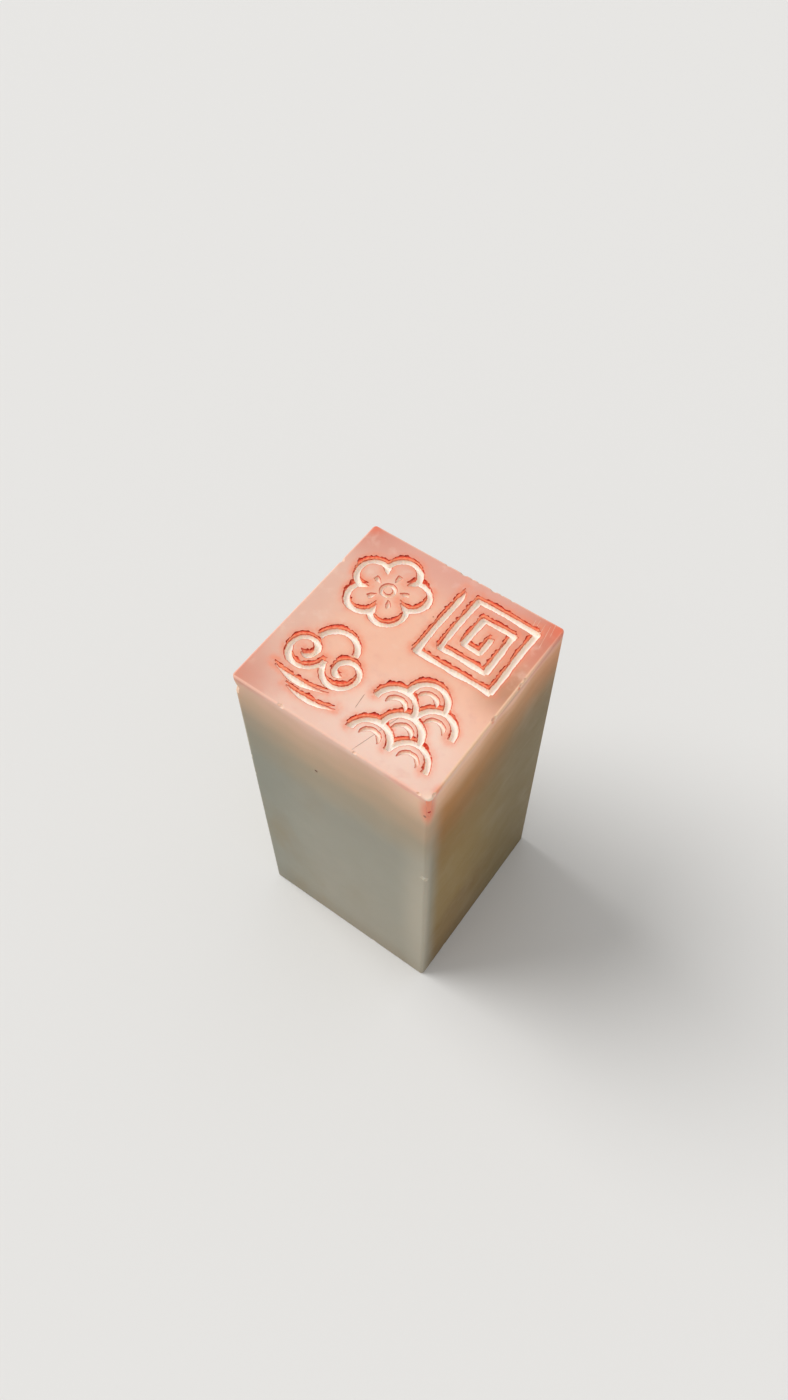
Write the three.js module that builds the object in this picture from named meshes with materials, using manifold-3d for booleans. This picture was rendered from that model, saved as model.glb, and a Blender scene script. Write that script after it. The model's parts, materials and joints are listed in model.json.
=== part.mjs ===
// A stone hand seal, standing on its plain end with its carved face up. Millimetres, +Z up.
// It is one block of soft stone. The face holds four common ornaments, a plum blossom, a thunder fret,
// a cloud scroll and waves, each drawn as the single knife strokes that cut it. The blade leans one way,
// so every cut has a clean side and a flaked shoulder, and dried paste from the pad is lodged on the flakes.
// The carved face is seen from above, with +X to its right and +Y to its top.
import * as THREE from "three";
import { mergeVertices } from "three/addons/utils/BufferGeometryUtils.js";
import Module from "manifold-3d";

// The blank
const STONE_SIDE = 24.5;
const STONE_HEIGHT = 50;
const UPRIGHT_ARRIS = 0.45; // radius that the four upright corners are sanded to
const END_ARRIS = 0.2; // bevel sanded round both ends

// The knife cuts
const CUT_WIDTH = 0.8;
const CUT_DEPTH = 0.65;
const CUT_FLOOR_WIDTH = 0.36; // left flat at the bottom of a full cut
const FINE_CUT_WIDTH = 0.55; // the small cuts inside an ornament
const TIP_SHARE = 0.2; // how much of its width and depth a cut keeps at a pointed end
const OVERRUN = 0.18; // how far a straight cut runs past the corner where it meets the next one
const HAND_STRAY = 0.05; // how far the hand strays from the drawn line
const HAND_SWAY_LENGTH = 7.8; // distance cut while it strays out and back
const OVERCUT = 0.4; // how far the cutting solids stand above the face
const CURVE_STEP = 0.42; // length of one facet along a curved cut
const STRAIGHT_STEP = 2; // and along a straight one, which only sways

// The flaked shoulder and the paste lodged on it
const FLAKE_DEPTH = 0.2;
const FLAKE_WIDTH = 0.62;
const FLAKE_SHIFT_X = -0.3; // towards the side that the blade leaned over
const FLAKE_SHIFT_Y = 0.36;
const FLAKE_RIPPLE = 0.16; // share by which the flaked width comes and goes
const FLAKE_BEAT_LENGTHS = [2.7, 5.7]; // distances along a cut over which it does
const FLAKE_LENGTH = 1.15; // one flake along a cut
const PASTE_DEPTH = 0.12;
const PASTE_CLEARANCE = 0.03; // between the paste and the walls round it
const LEAST_DEPOSIT_LENGTH = 1.7; // a shorter smear is only a stain

// The ornaments
const FACE_MARGIN = 1.7; // from the stone's side to an ornament
const LANE_WIDTH = 1.5; // bare lane between two ornaments
const NOTCH_LENGTH = 1.1; // the pointed cut between two petals
const RING_RADIUS = 0.72; // the ring at the blossom's middle
const STAMEN_LENGTH = 1.05;
const FRET_WALL_WIDTH = 0.95; // stone left standing between two turns of the fret
const SCROLL_EYE_RADIUS = 0.6; // where a cloud scroll ends
const SCROLL_TURNS = 1.3;
const WAVE_ROWS = 4;
const WAVE_CLEARANCE = 0.12; // between the two waves of a row

// The chips knocked off the arrises, and the paste that ran into the one at the near corner
const CHIP_SIZE = 0.55;
const CHIP_DEPTH = 0.16;
const CORNER_CHIP_SIZE = 1.5;
const CORNER_CHIP_DEPTH = 0.42;
const RUN_LENGTH = 3.1;
const RUN_TOP_RADIUS = 0.56;
const RUN_FOOT_RADIUS = 0.34;
const RUN_BELOW_FACE = 0.3;

// What follows from them
const HALF_SIDE = STONE_SIDE / 2;
const ORNAMENT_SIZE = (STONE_SIDE - 2 * FACE_MARGIN - LANE_WIDTH) / 2;
const ORNAMENT_MIDDLE = (LANE_WIDTH + ORNAMENT_SIZE) / 2;
const REACH = (ORNAMENT_SIZE - CUT_WIDTH) / 2; // from an ornament's middle to its outermost centreline
const FLAKE_BED = STONE_HEIGHT - FLAKE_DEPTH;
const LEAST_DEPOSIT = LEAST_DEPOSIT_LENGTH * PASTE_DEPTH * (FLAKE_WIDTH / 2); // cubic millimetres
const HALF_TURN = Math.PI;
const FULL_TURN = 2 * Math.PI;
const WELD = 0.001; // corners closer than this are one, so a neck finer than it parts

const STONE = new THREE.MeshStandardMaterial({ color: 0xb5ab93, roughness: 0.32, metalness: 0 });
const PASTE = new THREE.MeshStandardMaterial({ color: 0xc8381c, roughness: 0.6, metalness: 0 });

const wasm = await Module();
wasm.setup();

/** A closed three.js geometry as a solid that can be joined and cut. */
function solidFrom(geometry, weld = WELD / 100) {
  const bare = new THREE.BufferGeometry();
  bare.setAttribute("position", geometry.getAttribute("position"));
  if (geometry.index) bare.setIndex(geometry.index);
  const merged = mergeVertices(bare, weld);
  return new wasm.Manifold(
    new wasm.Mesh({
      numProp: 3,
      vertProperties: new Float32Array(merged.getAttribute("position").array),
      triVerts: new Uint32Array(merged.index.array),
    }),
  );
}

/** A solid as a three.js geometry. */
function geometryFrom(solid) {
  const mesh = solid.getMesh();
  const places = new Float32Array(mesh.numVert * 3);
  for (let i = 0; i < mesh.numVert; i++) {
    places.set(mesh.vertProperties.subarray(i * mesh.numProp, i * mesh.numProp + 3), i * 3);
  }
  const geometry = new THREE.BufferGeometry();
  geometry.setAttribute("position", new THREE.BufferAttribute(places, 3));
  geometry.setIndex(new THREE.BufferAttribute(new Uint32Array(mesh.triVerts), 1));
  geometry.computeVertexNormals();
  return geometry;
}

const joined = (solids) => solids.reduce((all, next) => all.add(next));

/** The separate bodies of a solid, the largest first. */
const bodies = (solid) =>
  solidFrom(geometryFrom(solid), WELD)
    .decompose()
    .sort((a, b) => b.volume() - a.volume());

/**
 * A knife stroke on the face. entry and exit are the shares of its length over which the blade
 * goes in and comes out: 0 leaves a blunt end.
 */
function stroke(curve, { width = CUT_WIDTH, entry = 0, exit = 0, step = CURVE_STEP, closed = false } = {}) {
  const start = curve.getPoint(0);
  const length = curve.getLength();
  return {
    curve,
    width,
    entry,
    exit,
    closed,
    length,
    steps: Math.ceil(length / step),
    flaked: width === CUT_WIDTH,
    lead: start.x + Math.SQRT2 * start.y, // sets its sway apart from its neighbours'
  };
}

/** The share of its full width that a stroke has at t, from 0 to 1 along it. */
function bladeShare({ entry, exit }, t) {
  const goingIn = entry ? t / entry : 1;
  const comingOut = exit ? (1 - t) / exit : 1;
  return TIP_SHARE + (1 - TIP_SHARE) * Math.min(1, goingIn, comingOut);
}

/** How far from 0, at most 1 either way, something that sways over a length has come at t along a stroke. */
const sway = ({ length, lead }, t, swayLength) => Math.sin((FULL_TURN * (t * length + lead)) / swayLength);

/** Places along a stroke where its section is drawn: even steps, and where a taper ends. */
function stations({ entry, exit, closed }, steps) {
  const places = Array.from({ length: steps + 1 }, (_, i) => i / steps);
  if (entry) places.push(entry);
  if (exit) places.push(1 - exit);
  const sorted = [...new Set(places.map((t) => Math.round(t * 1e4) / 1e4))].sort((a, b) => a - b);
  return closed ? sorted.slice(0, -1) : sorted;
}

/**
 * A solid swept along a stroke. section(t) gives its half width and its height at the low side,
 * and the same at the high side.
 */
function sweep(cut, steps, section, shift = new THREE.Vector2()) {
  const places = stations(cut, steps);
  const vertices = [];
  for (const t of places) {
    const along = cut.curve.getTangent(t);
    const across = new THREE.Vector2(-along.y, along.x);
    const stray = cut.flaked ? HAND_STRAY * sway(cut, t, HAND_SWAY_LENGTH) : 0;
    const middle = cut.curve.getPoint(t).add(shift).addScaledVector(across, stray);
    const { lowHalf, low, highHalf, high } = section(t);
    for (const [half, z] of [[lowHalf, low], [-lowHalf, low], [-highHalf, high], [highHalf, high]]) {
      vertices.push(middle.x + across.x * half, middle.y + across.y * half, z);
    }
  }
  const faces = [];
  const rings = cut.closed ? places.length : places.length - 1;
  for (let ring = 0; ring < rings; ring++) {
    const here = ring * 4;
    const next = ((ring + 1) % places.length) * 4;
    for (let side = 0; side < 4; side++) {
      const other = (side + 1) % 4;
      faces.push(here + side, next + other, here + other);
      faces.push(here + side, next + side, next + other);
    }
  }
  if (!cut.closed) {
    const last = (places.length - 1) * 4;
    faces.push(0, 1, 2, 0, 2, 3);
    faces.push(last, last + 2, last + 1, last, last + 3, last + 2);
  }
  const geometry = new THREE.BufferGeometry();
  geometry.setAttribute("position", new THREE.Float32BufferAttribute(vertices, 3));
  geometry.setIndex(faces);
  return solidFrom(geometry);
}

/** The deep cut of a stroke: sloping walls down to a narrow floor, grown sideways by allowance. */
function knifeCut(cut, allowance = 0) {
  const size = cut.width / CUT_WIDTH;
  return sweep(cut, cut.steps, (t) => {
    const share = bladeShare(cut, t) * size;
    const half = (CUT_WIDTH / 2) * share;
    const floorHalf = (CUT_FLOOR_WIDTH / 2) * share;
    const depth = CUT_DEPTH * share;
    const flare = ((half - floorHalf) / depth) * OVERCUT;
    return {
      lowHalf: floorHalf + allowance,
      low: STONE_HEIGHT - depth,
      highHalf: half + flare + allowance,
      high: STONE_HEIGHT + OVERCUT,
    };
  });
}

/** A slab over a stroke's flaked shoulder, between two heights, drawn in sideways by allowance. */
function shoulderSlab(cut, low, high, allowance = 0) {
  const steps = Math.max(cut.steps, Math.round(cut.length / FLAKE_LENGTH));
  const section = (t) => {
    const beats = FLAKE_BEAT_LENGTHS.reduce((sum, length) => sum + sway(cut, t, length), 0);
    const half = (FLAKE_WIDTH / 2) * bladeShare(cut, t) * (1 + FLAKE_RIPPLE * beats) - allowance;
    return { lowHalf: half, low, highHalf: half, high };
  };
  return sweep(cut, steps, section, new THREE.Vector2(FLAKE_SHIFT_X, FLAKE_SHIFT_Y));
}

const at = (x, y) => new THREE.Vector2(x, y);
const line = (from, to) => new THREE.LineCurve(from, to);
const bend = (from, through, to) => new THREE.QuadraticBezierCurve(from, through, to);
const polar = (middle, radius, angle) =>
  at(middle.x + radius * Math.cos(angle), middle.y + radius * Math.sin(angle));

/** An arc about middle, turning clockwise where its end angle is the smaller one. */
const arc = (middle, radius, from, to) =>
  new THREE.EllipseCurve(middle.x, middle.y, radius, radius, from, to, to < from, 0);

/** A spiral about a middle that winds from one radius to another as it goes from one angle to another. */
class Volute extends THREE.Curve {
  constructor(middle, radii, angles) {
    super();
    Object.assign(this, { middle, radii, angles });
  }

  getPoint(t, target = new THREE.Vector2()) {
    const [radius, angle] = [this.radii, this.angles].map(([from, to]) => from + t * (to - from));
    return target.copy(polar(this.middle, radius, angle));
  }
}

/** Plum blossom: five half-round petals that meet in cusps, a ring and its stamens. */
function plumBlossom(middle) {
  const petals = 5;
  const half = HALF_TURN / petals;
  const petalMiddle = REACH / (1 + Math.tan(half));
  const petalRadius = petalMiddle * Math.tan(half);
  const cusp = petalMiddle / Math.cos(half);
  const stamenStart = RING_RADIUS + FINE_CUT_WIDTH;
  const stamenEnd = stamenStart + STAMEN_LENGTH;
  const strokes = [
    stroke(arc(middle, RING_RADIUS, 0, FULL_TURN), { width: FINE_CUT_WIDTH, closed: true }),
  ];
  for (let petal = 0; petal < petals; petal++) {
    const aim = HALF_TURN / 2 + petal * 2 * half;
    const hub = polar(middle, petalMiddle, aim);
    const rim = arc(hub, petalRadius, aim + HALF_TURN / 2, aim - HALF_TURN / 2);
    const notch = line(polar(middle, cusp, aim + half), polar(middle, cusp - NOTCH_LENGTH, aim + half));
    const stamen = line(polar(middle, stamenStart, aim), polar(middle, stamenEnd, aim));
    strokes.push(
      stroke(rim),
      stroke(notch, { exit: 0.8, step: STRAIGHT_STEP }),
      stroke(stamen, { width: FINE_CUT_WIDTH, entry: 0.5, step: STRAIGHT_STEP }),
    );
  }
  return strokes;
}

/** Thunder fret: one square spiral, each side its own straight cut, and the first one pointed. */
function thunderFret(middle) {
  const pitch = CUT_WIDTH + FRET_WALL_WIDTH;
  const headings = [at(0, -1), at(1, 0), at(0, 1), at(-1, 0)];
  const strokes = [];
  let corner = at(middle.x - REACH, middle.y + REACH);
  for (let side = 0; ; side++) {
    const length = 2 * REACH - pitch * Math.max(0, Math.floor((side - 1) / 2));
    if (length < pitch) break;
    const heading = headings[side % headings.length];
    const end = corner.clone().addScaledVector(heading, length);
    const from = corner.clone().addScaledVector(heading, -OVERRUN);
    const to = end.clone().addScaledVector(heading, OVERRUN);
    strokes.push(stroke(line(from, to), { entry: side ? 0 : 0.12, step: STRAIGHT_STEP }));
    corner = end;
  }
  return strokes;
}

/** A cloud scroll, rolled outwards from its start. side is 1 to the right, -1 to the left. */
function scroll(start, radius, side) {
  const middle = at(start.x + side * radius, start.y);
  const from = side > 0 ? HALF_TURN : 0;
  const to = from + side * SCROLL_TURNS * FULL_TURN;
  return stroke(new Volute(middle, [radius, SCROLL_EYE_RADIUS], [from, to]), { exit: 0.12 });
}

/** Cloud: two scrolls under a round crown, with two wisps trailing below, placed in shares of its reach. */
function cloudScroll(middle) {
  const place = (across, up) => at(middle.x + across * REACH, middle.y + up * REACH);
  const seat = place(0, 0.08);
  const crown = arc(place(0, 0.48), 0.5 * REACH, 0.96 * HALF_TURN, 0.04 * HALF_TURN);
  const upperWisp = bend(place(-0.86, -0.66), place(-0.1, -0.82), place(0.62, -0.58));
  const lowerWisp = bend(place(-0.3, -0.96), place(0.4, -1.06), place(1, -0.84));
  return [
    scroll(seat, 0.54 * REACH, -1),
    scroll(seat, 0.54 * REACH, 1),
    stroke(crown),
    ...[upperWisp, lowerWisp].map((wisp) => stroke(wisp, { entry: 0.35, exit: 0.45 })),
  ];
}

/** Waves: rows of half-round scales, each row set between the scales of the row below. */
function waves(middle) {
  const radius = (2 * REACH - WAVE_CLEARANCE) / WAVE_ROWS;
  const foot = middle.y - REACH;
  const strokes = [];
  for (let row = 0; row < WAVE_ROWS; row++) {
    for (const column of row % 2 ? [0] : [-1, 1]) {
      const hub = at(middle.x + column * (radius + WAVE_CLEARANCE / 2), foot + row * radius);
      const scale = arc(hub, radius, HALF_TURN, 0);
      const crest = arc(hub, radius / 2, HALF_TURN, 0);
      strokes.push(stroke(scale), stroke(crest, { width: FINE_CUT_WIDTH, entry: 0.2, exit: 0.2 }));
    }
  }
  return strokes;
}

/** A shard: what a knock takes out of an arris, as deep as depth behind a place on its surface. */
function shard([place, outward], size, depth, turn) {
  const geometry = new THREE.IcosahedronGeometry(size, 0);
  geometry.rotateX(turn);
  geometry.rotateZ(2 * turn);
  const middle = place.clone().addScaledVector(outward, size - depth);
  geometry.translate(middle.x, middle.y, middle.z);
  return solidFrom(geometry);
}

/** A spot on an upright arris, at a share of the height, with the way that it faces. */
function onUpright(sideX, sideY, share) {
  const out = HALF_SIDE - UPRIGHT_ARRIS * (1 - Math.SQRT1_2);
  const place = new THREE.Vector3(sideX * out, sideY * out, share * STONE_HEIGHT);
  return [place, new THREE.Vector3(sideX, sideY, 0).normalize()];
}

/** A spot on the arris round an end: across is -1 to 1 along a side, and end is 1 for the face. */
function onEnd(outX, outY, across, end) {
  const out = HALF_SIDE - END_ARRIS / 2;
  const along = across * HALF_SIDE;
  const z = end > 0 ? STONE_HEIGHT - END_ARRIS / 2 : END_ARRIS / 2;
  const place = new THREE.Vector3(outX ? outX * out : along, outY ? outY * out : along, z);
  return [place, new THREE.Vector3(outX, outY, end).normalize()];
}

/** The chips round the arrises, where a hand seal gets knocked. */
function chips() {
  const spots = [
    onUpright(-1, -1, 0.59),
    onUpright(1, -1, 0.62),
    onUpright(-1, 1, 0.4),
    onEnd(0, 1, -0.03, 1),
    onEnd(0, 1, 0.28, 1),
    onEnd(1, 0, -0.09, 1),
    onEnd(0, -1, -0.48, 1),
    onEnd(-1, 0, 0.5, 1),
    onEnd(0, -1, 0.35, -1),
    onEnd(1, 0, -0.6, -1),
  ];
  const small = spots.map((spot, i) => shard(spot, CHIP_SIZE, CHIP_DEPTH, i));
  return [...small, shard(onUpright(-1, -1, 0.962), CORNER_CHIP_SIZE, CORNER_CHIP_DEPTH, spots.length)];
}

/** The long chip down the near corner, drawn in by allowance for what is lodged in it. */
function cornerRun(allowance = 0) {
  const length = RUN_LENGTH - 2 * allowance;
  const geometry = new THREE.CylinderGeometry(RUN_TOP_RADIUS - allowance, RUN_FOOT_RADIUS - allowance, length, 7);
  geometry.rotateX(HALF_TURN / 2);
  geometry.translate(HALF_SIDE, -HALF_SIDE, STONE_HEIGHT - RUN_BELOW_FACE - RUN_LENGTH / 2);
  return solidFrom(geometry);
}

/** The block before it is carved: a square bar with its arrises sanded. */
function blank() {
  const edge = HALF_SIDE - END_ARRIS;
  const round = UPRIGHT_ARRIS - END_ARRIS;
  const outline = new THREE.Shape();
  [[1, -1, -0.5], [1, 1, 0], [-1, 1, 0.5], [-1, -1, 1]].forEach(([x, y, halfTurns]) => {
    const from = halfTurns * HALF_TURN;
    outline.absarc(x * (edge - round), y * (edge - round), round, from, from + HALF_TURN / 2);
  });
  const geometry = new THREE.ExtrudeGeometry(outline, {
    depth: STONE_HEIGHT - 2 * END_ARRIS,
    steps: 1,
    curveSegments: 4,
    bevelEnabled: true,
    bevelSegments: 2,
    bevelSize: END_ARRIS,
    bevelThickness: END_ARRIS,
  });
  geometry.translate(0, 0, END_ARRIS);
  return solidFrom(geometry);
}

const ornaments = {
  blossom: plumBlossom(at(-ORNAMENT_MIDDLE, ORNAMENT_MIDDLE)),
  fret: thunderFret(at(ORNAMENT_MIDDLE, ORNAMENT_MIDDLE)),
  cloud: cloudScroll(at(-ORNAMENT_MIDDLE, -ORNAMENT_MIDDLE)),
  waves: waves(at(ORNAMENT_MIDDLE, -ORNAMENT_MIDDLE)),
};

const strokes = Object.values(ornaments).flat();
const flakedOnes = (cuts) => cuts.filter((cut) => cut.flaked);
const carving = joined([
  ...strokes.map((cut) => knifeCut(cut)),
  ...flakedOnes(strokes).map((cut) => shoulderSlab(cut, FLAKE_BED, STONE_HEIGHT + OVERCUT)),
]);
const clearOfCuts = joined(strokes.map((cut) => knifeCut(cut, PASTE_CLEARANCE)));

const seal = new THREE.Group();

/** Adds one named part to the seal. */
function addPart(name, solid, material) {
  const mesh = new THREE.Mesh(geometryFrom(solid), material);
  mesh.name = name;
  seal.add(mesh);
}

// A sliver that crossing cuts leave loose breaks away, so the stone is the largest body.
const [stone] = bodies(blank().subtract(carving).subtract(joined([...chips(), cornerRun()])));
addPart("carved_stone", stone, STONE);

const [run] = bodies(blank().intersect(cornerRun(PASTE_CLEARANCE)));
addPart("paste_run_on_corner", run, PASTE);

for (const [ornament, cuts] of Object.entries(ornaments)) {
  const smears = flakedOnes(cuts).map((cut) =>
    shoulderSlab(cut, FLAKE_BED, FLAKE_BED + PASTE_DEPTH, PASTE_CLEARANCE),
  );
  bodies(joined(smears).subtract(clearOfCuts))
    .filter((body) => body.volume() > LEAST_DEPOSIT)
    .forEach((body, i) => addPart(`paste_in_${ornament}_${i + 1}`, body, PASTE));
}

export default seal;
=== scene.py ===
"""The looks of a stone hand seal with a knife-cut face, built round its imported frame.

Pieces are modelled in millimetres and brought to metres once they are finished.
"""
import json
import logging
import math
import random
from collections import Counter
from contextlib import contextmanager
from dataclasses import dataclass, field
from enum import Enum
from functools import cached_property
from typing import Callable, Iterator, Sequence

import bpy
from mathutils import Matrix, Vector, kdtree, noise

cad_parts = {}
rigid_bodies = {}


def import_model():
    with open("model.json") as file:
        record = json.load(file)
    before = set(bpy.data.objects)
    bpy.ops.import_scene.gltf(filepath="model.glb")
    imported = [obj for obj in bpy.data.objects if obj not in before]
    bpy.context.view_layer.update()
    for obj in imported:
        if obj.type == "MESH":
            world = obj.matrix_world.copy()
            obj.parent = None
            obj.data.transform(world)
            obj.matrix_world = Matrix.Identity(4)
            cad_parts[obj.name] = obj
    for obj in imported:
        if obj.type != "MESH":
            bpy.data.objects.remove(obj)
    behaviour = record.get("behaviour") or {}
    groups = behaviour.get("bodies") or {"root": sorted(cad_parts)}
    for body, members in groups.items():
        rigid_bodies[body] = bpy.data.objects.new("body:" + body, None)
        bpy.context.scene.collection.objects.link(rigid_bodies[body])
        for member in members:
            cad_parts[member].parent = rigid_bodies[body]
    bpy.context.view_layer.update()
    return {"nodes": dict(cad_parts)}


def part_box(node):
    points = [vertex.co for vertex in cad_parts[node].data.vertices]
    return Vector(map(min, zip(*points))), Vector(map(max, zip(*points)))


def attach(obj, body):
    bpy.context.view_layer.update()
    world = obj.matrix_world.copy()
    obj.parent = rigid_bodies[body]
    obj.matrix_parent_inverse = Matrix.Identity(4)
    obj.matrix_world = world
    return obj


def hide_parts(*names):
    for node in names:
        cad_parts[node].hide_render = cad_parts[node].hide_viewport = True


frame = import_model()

LOG = logging.getLogger("seal")

MM = 0.001
FULL_TURN = 2 * math.pi
HALF_TURN = math.pi
UP = Vector((0, 0, 1))

Span = tuple[float, float]
Place = tuple[float, float, float]
Colour = tuple[float, float, float]
Tint = tuple[Span, float, Colour]
Spot = tuple[Vector, Vector]


class Slot(str, Enum):
    """The record's material slots."""

    STONE = "stone"
    PASTE = "seal_paste"


class Finish(int, Enum):
    """The slots of the carved stone's mesh, in their order."""

    SKIN = 0
    CUT = 1
    FLAKE = 2
    CHIP = 3
    SCRATCH = 4


# Drawing on the face


class Path:
    """A line that the knife follows on the face, from t = 0 to t = 1, in millimetres."""

    def point(self, t: float) -> Vector:
        """The place at t."""
        raise NotImplementedError

    def heading(self, t: float, reach: float = 1e-3) -> Vector:
        """The direction of travel at t."""
        low, high = max(0.0, t - reach), min(1.0, t + reach)
        return (self.point(high) - self.point(low)).normalized()

    def length(self, steps: int = 200) -> float:
        """The length of the whole path."""
        places = [self.point(i / steps) for i in range(steps + 1)]
        return sum((b - a).length for a, b in zip(places, places[1:]))


def flat(x: float, y: float) -> Vector:
    """A place on the drawing of the face."""
    return Vector((x, y, 0))


def polar(middle: Vector, radius: float, angle: float) -> Vector:
    """The place at a radius and angle about a middle."""
    return middle + radius * flat(math.cos(angle), math.sin(angle))


@dataclass(frozen=True)
class Line(Path):
    """A straight path."""

    start: Vector
    end: Vector

    def point(self, t: float) -> Vector:
        """The place at t."""
        return self.start.lerp(self.end, t)


@dataclass(frozen=True)
class Bend(Path):
    """A path that bends once, towards a place that it doesn't reach."""

    start: Vector
    towards: Vector
    end: Vector

    def point(self, t: float) -> Vector:
        """The place at t."""
        return self.start.lerp(self.towards, t).lerp(self.towards.lerp(self.end, t), t)


@dataclass(frozen=True)
class Volute(Path):
    """A spiral about a middle, or an arc where its two radii are alike."""

    middle: Vector
    radii: Span
    angles: Span

    def point(self, t: float) -> Vector:
        """The place at t."""
        radius, angle = (a + t * (b - a) for a, b in (self.radii, self.angles))
        return polar(self.middle, radius, angle)


def arc(middle: Vector, radius: float, start: float, end: float) -> Volute:
    """An arc from one angle to another, clockwise where the second is the smaller one."""
    return Volute(middle, (radius, radius), (start, end))


class Blade:
    """Something that takes stone away along a stroke, a short step at a time."""

    kind: str
    step: float
    depths: Span
    fewest_steps = 4

    def section(self) -> list[Span]:
        """The corners of what it takes away, each across and up from the stroke."""
        raise NotImplementedError

    def station(self, stroke: "Stroke", t: float, number: int, chance: random.Random) -> tuple[Vector, Span]:
        """The place at t, and the section's size there, across and upwards."""
        raise NotImplementedError

    def cutter(self, stroke: "Stroke", number: int, height: float) -> bpy.types.Object:
        """The solid that it takes out along a stroke.

        Args:
            stroke: the stroke.
            number: the cutter's number, which seeds its chance.
            height: how high the face lies.

        Returns:
            The cutter.
        """
        chance = random.Random(number)
        depth = chance.uniform(*self.depths)
        steps = max(self.fewest_steps, math.ceil(stroke.length / self.step))
        stations = [self.station(stroke, i / steps, number, chance) for i in range(steps + 1)]
        places = [place + UP * height for place, _ in stations]
        scales = [(across, up * depth) for _, (across, up) in stations]
        return swept(f"{self.kind}_{number}", self.section(), places, scales)


@dataclass(frozen=True)
class Knife(Blade):
    """The blade itself, and the hand that leads it."""

    kind: str = "cut"
    width: float = 0.8
    depth: float = 0.65
    floor_width: float = 0.36
    floor_hollow: float = 0.04
    fine_width: float = 0.55
    tip_share: float = 0.2
    overrun: float = 0.18
    stray: float = 0.05
    sway_length: float = 7.8
    overcut: float = 0.06
    rim_width: float = 0.07
    rim_depth: float = 0.05
    chatter: float = 0.06
    chatter_aside: float = 0.5
    wander: float = 0.3
    wander_length: float = 1.7
    wander_row: float = 0.5
    step: float = 0.13
    depths: Span = (0.93, 1.0)
    depth_play: Span = (0.98, 1.02)

    def section(self) -> list[Span]:
        """A narrow floor, sloping walls and a broken rim.

        Returns:
            The corners.
        """
        floor, rim = self.floor_width / 2, self.width / 2 - self.rim_width / 2
        flare = self.rim_width / self.rim_depth * (self.rim_depth + self.overcut)
        return [
            (-floor, -self.depth + self.floor_hollow),
            (0, -self.depth),
            (floor, -self.depth + self.floor_hollow),
            (rim, -self.rim_depth),
            (rim + flare, self.overcut),
            (-rim - flare, self.overcut),
            (-rim, -self.rim_depth),
        ]

    def station(self, stroke: "Stroke", t: float, number: int, chance: random.Random) -> tuple[Vector, Span]:
        """The place at t, and the section's size there, which waver.

        Args:
            stroke: the stroke.
            t: how far along it the place is, from 0 to 1.
            number: the cutter's number.
            chance: its run of random numbers.

        Returns:
            The place and the size.
        """
        across = UP.cross(stroke.path.heading(t))
        aside = across * chance.uniform(-1, 1) * self.chatter * self.chatter_aside
        along = Vector((t * stroke.length / self.wander_length, number, self.wander_row))
        full = stroke.share(t) * (stroke.width / self.width)
        breadth = full * (1 + noise.noise(along) * self.wander + chance.uniform(-1, 1) * self.chatter)
        return stroke.place(t) + aside, (breadth, full * chance.uniform(*self.depth_play))


@dataclass(frozen=True)
class Flake(Blade):
    """The shoulder that the leaning blade breaks out along a cut."""

    kind: str = "flake"
    depth: float = 0.2
    outer_share: float = 0.9
    width: float = 0.62
    shift: Span = (-0.3, 0.36)
    ripple: float = 0.16
    beat_lengths: Span = (2.7, 5.7)
    jag: float = 0.4
    jag_length: float = 0.5
    jag_finer: float = 2.7
    smallest: float = 0.15
    overcut: float = 0.1
    step: float = 0.1
    depths: Span = (0.96, 1.1)
    depth_play: Span = (0.95, 1.05)

    def section(self) -> list[Span]:
        """A shallow trench, a little less deep on its outer side.

        Returns:
            The corners.
        """
        half = self.width / 2
        return [
            (-half, -self.depth * self.outer_share),
            (half, -self.depth),
            (half, self.overcut),
            (-half, self.overcut),
        ]

    def station(self, stroke: "Stroke", t: float, number: int, chance: random.Random) -> tuple[Vector, Span]:
        """The place at t, and the section's size there, which is ragged.

        Args:
            stroke: the stroke.
            t: how far along it the place is, from 0 to 1.
            number: the cutter's number.
            chance: its run of random numbers.

        Returns:
            The place and the size.
        """
        beats = sum(stroke.sway(t, beat) for beat in self.beat_lengths)
        along = Vector((t * stroke.length / self.jag_length, number, 0))
        jag = (2 * noise.noise(along) + noise.noise(along * self.jag_finer)) * self.jag
        breadth = max(self.smallest, stroke.share(t) * (1 + self.ripple * beats + jag))
        return stroke.place(t) + flat(*self.shift), (breadth, chance.uniform(*self.depth_play))


KNIFE = Knife()
FLAKE = Flake()


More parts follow.
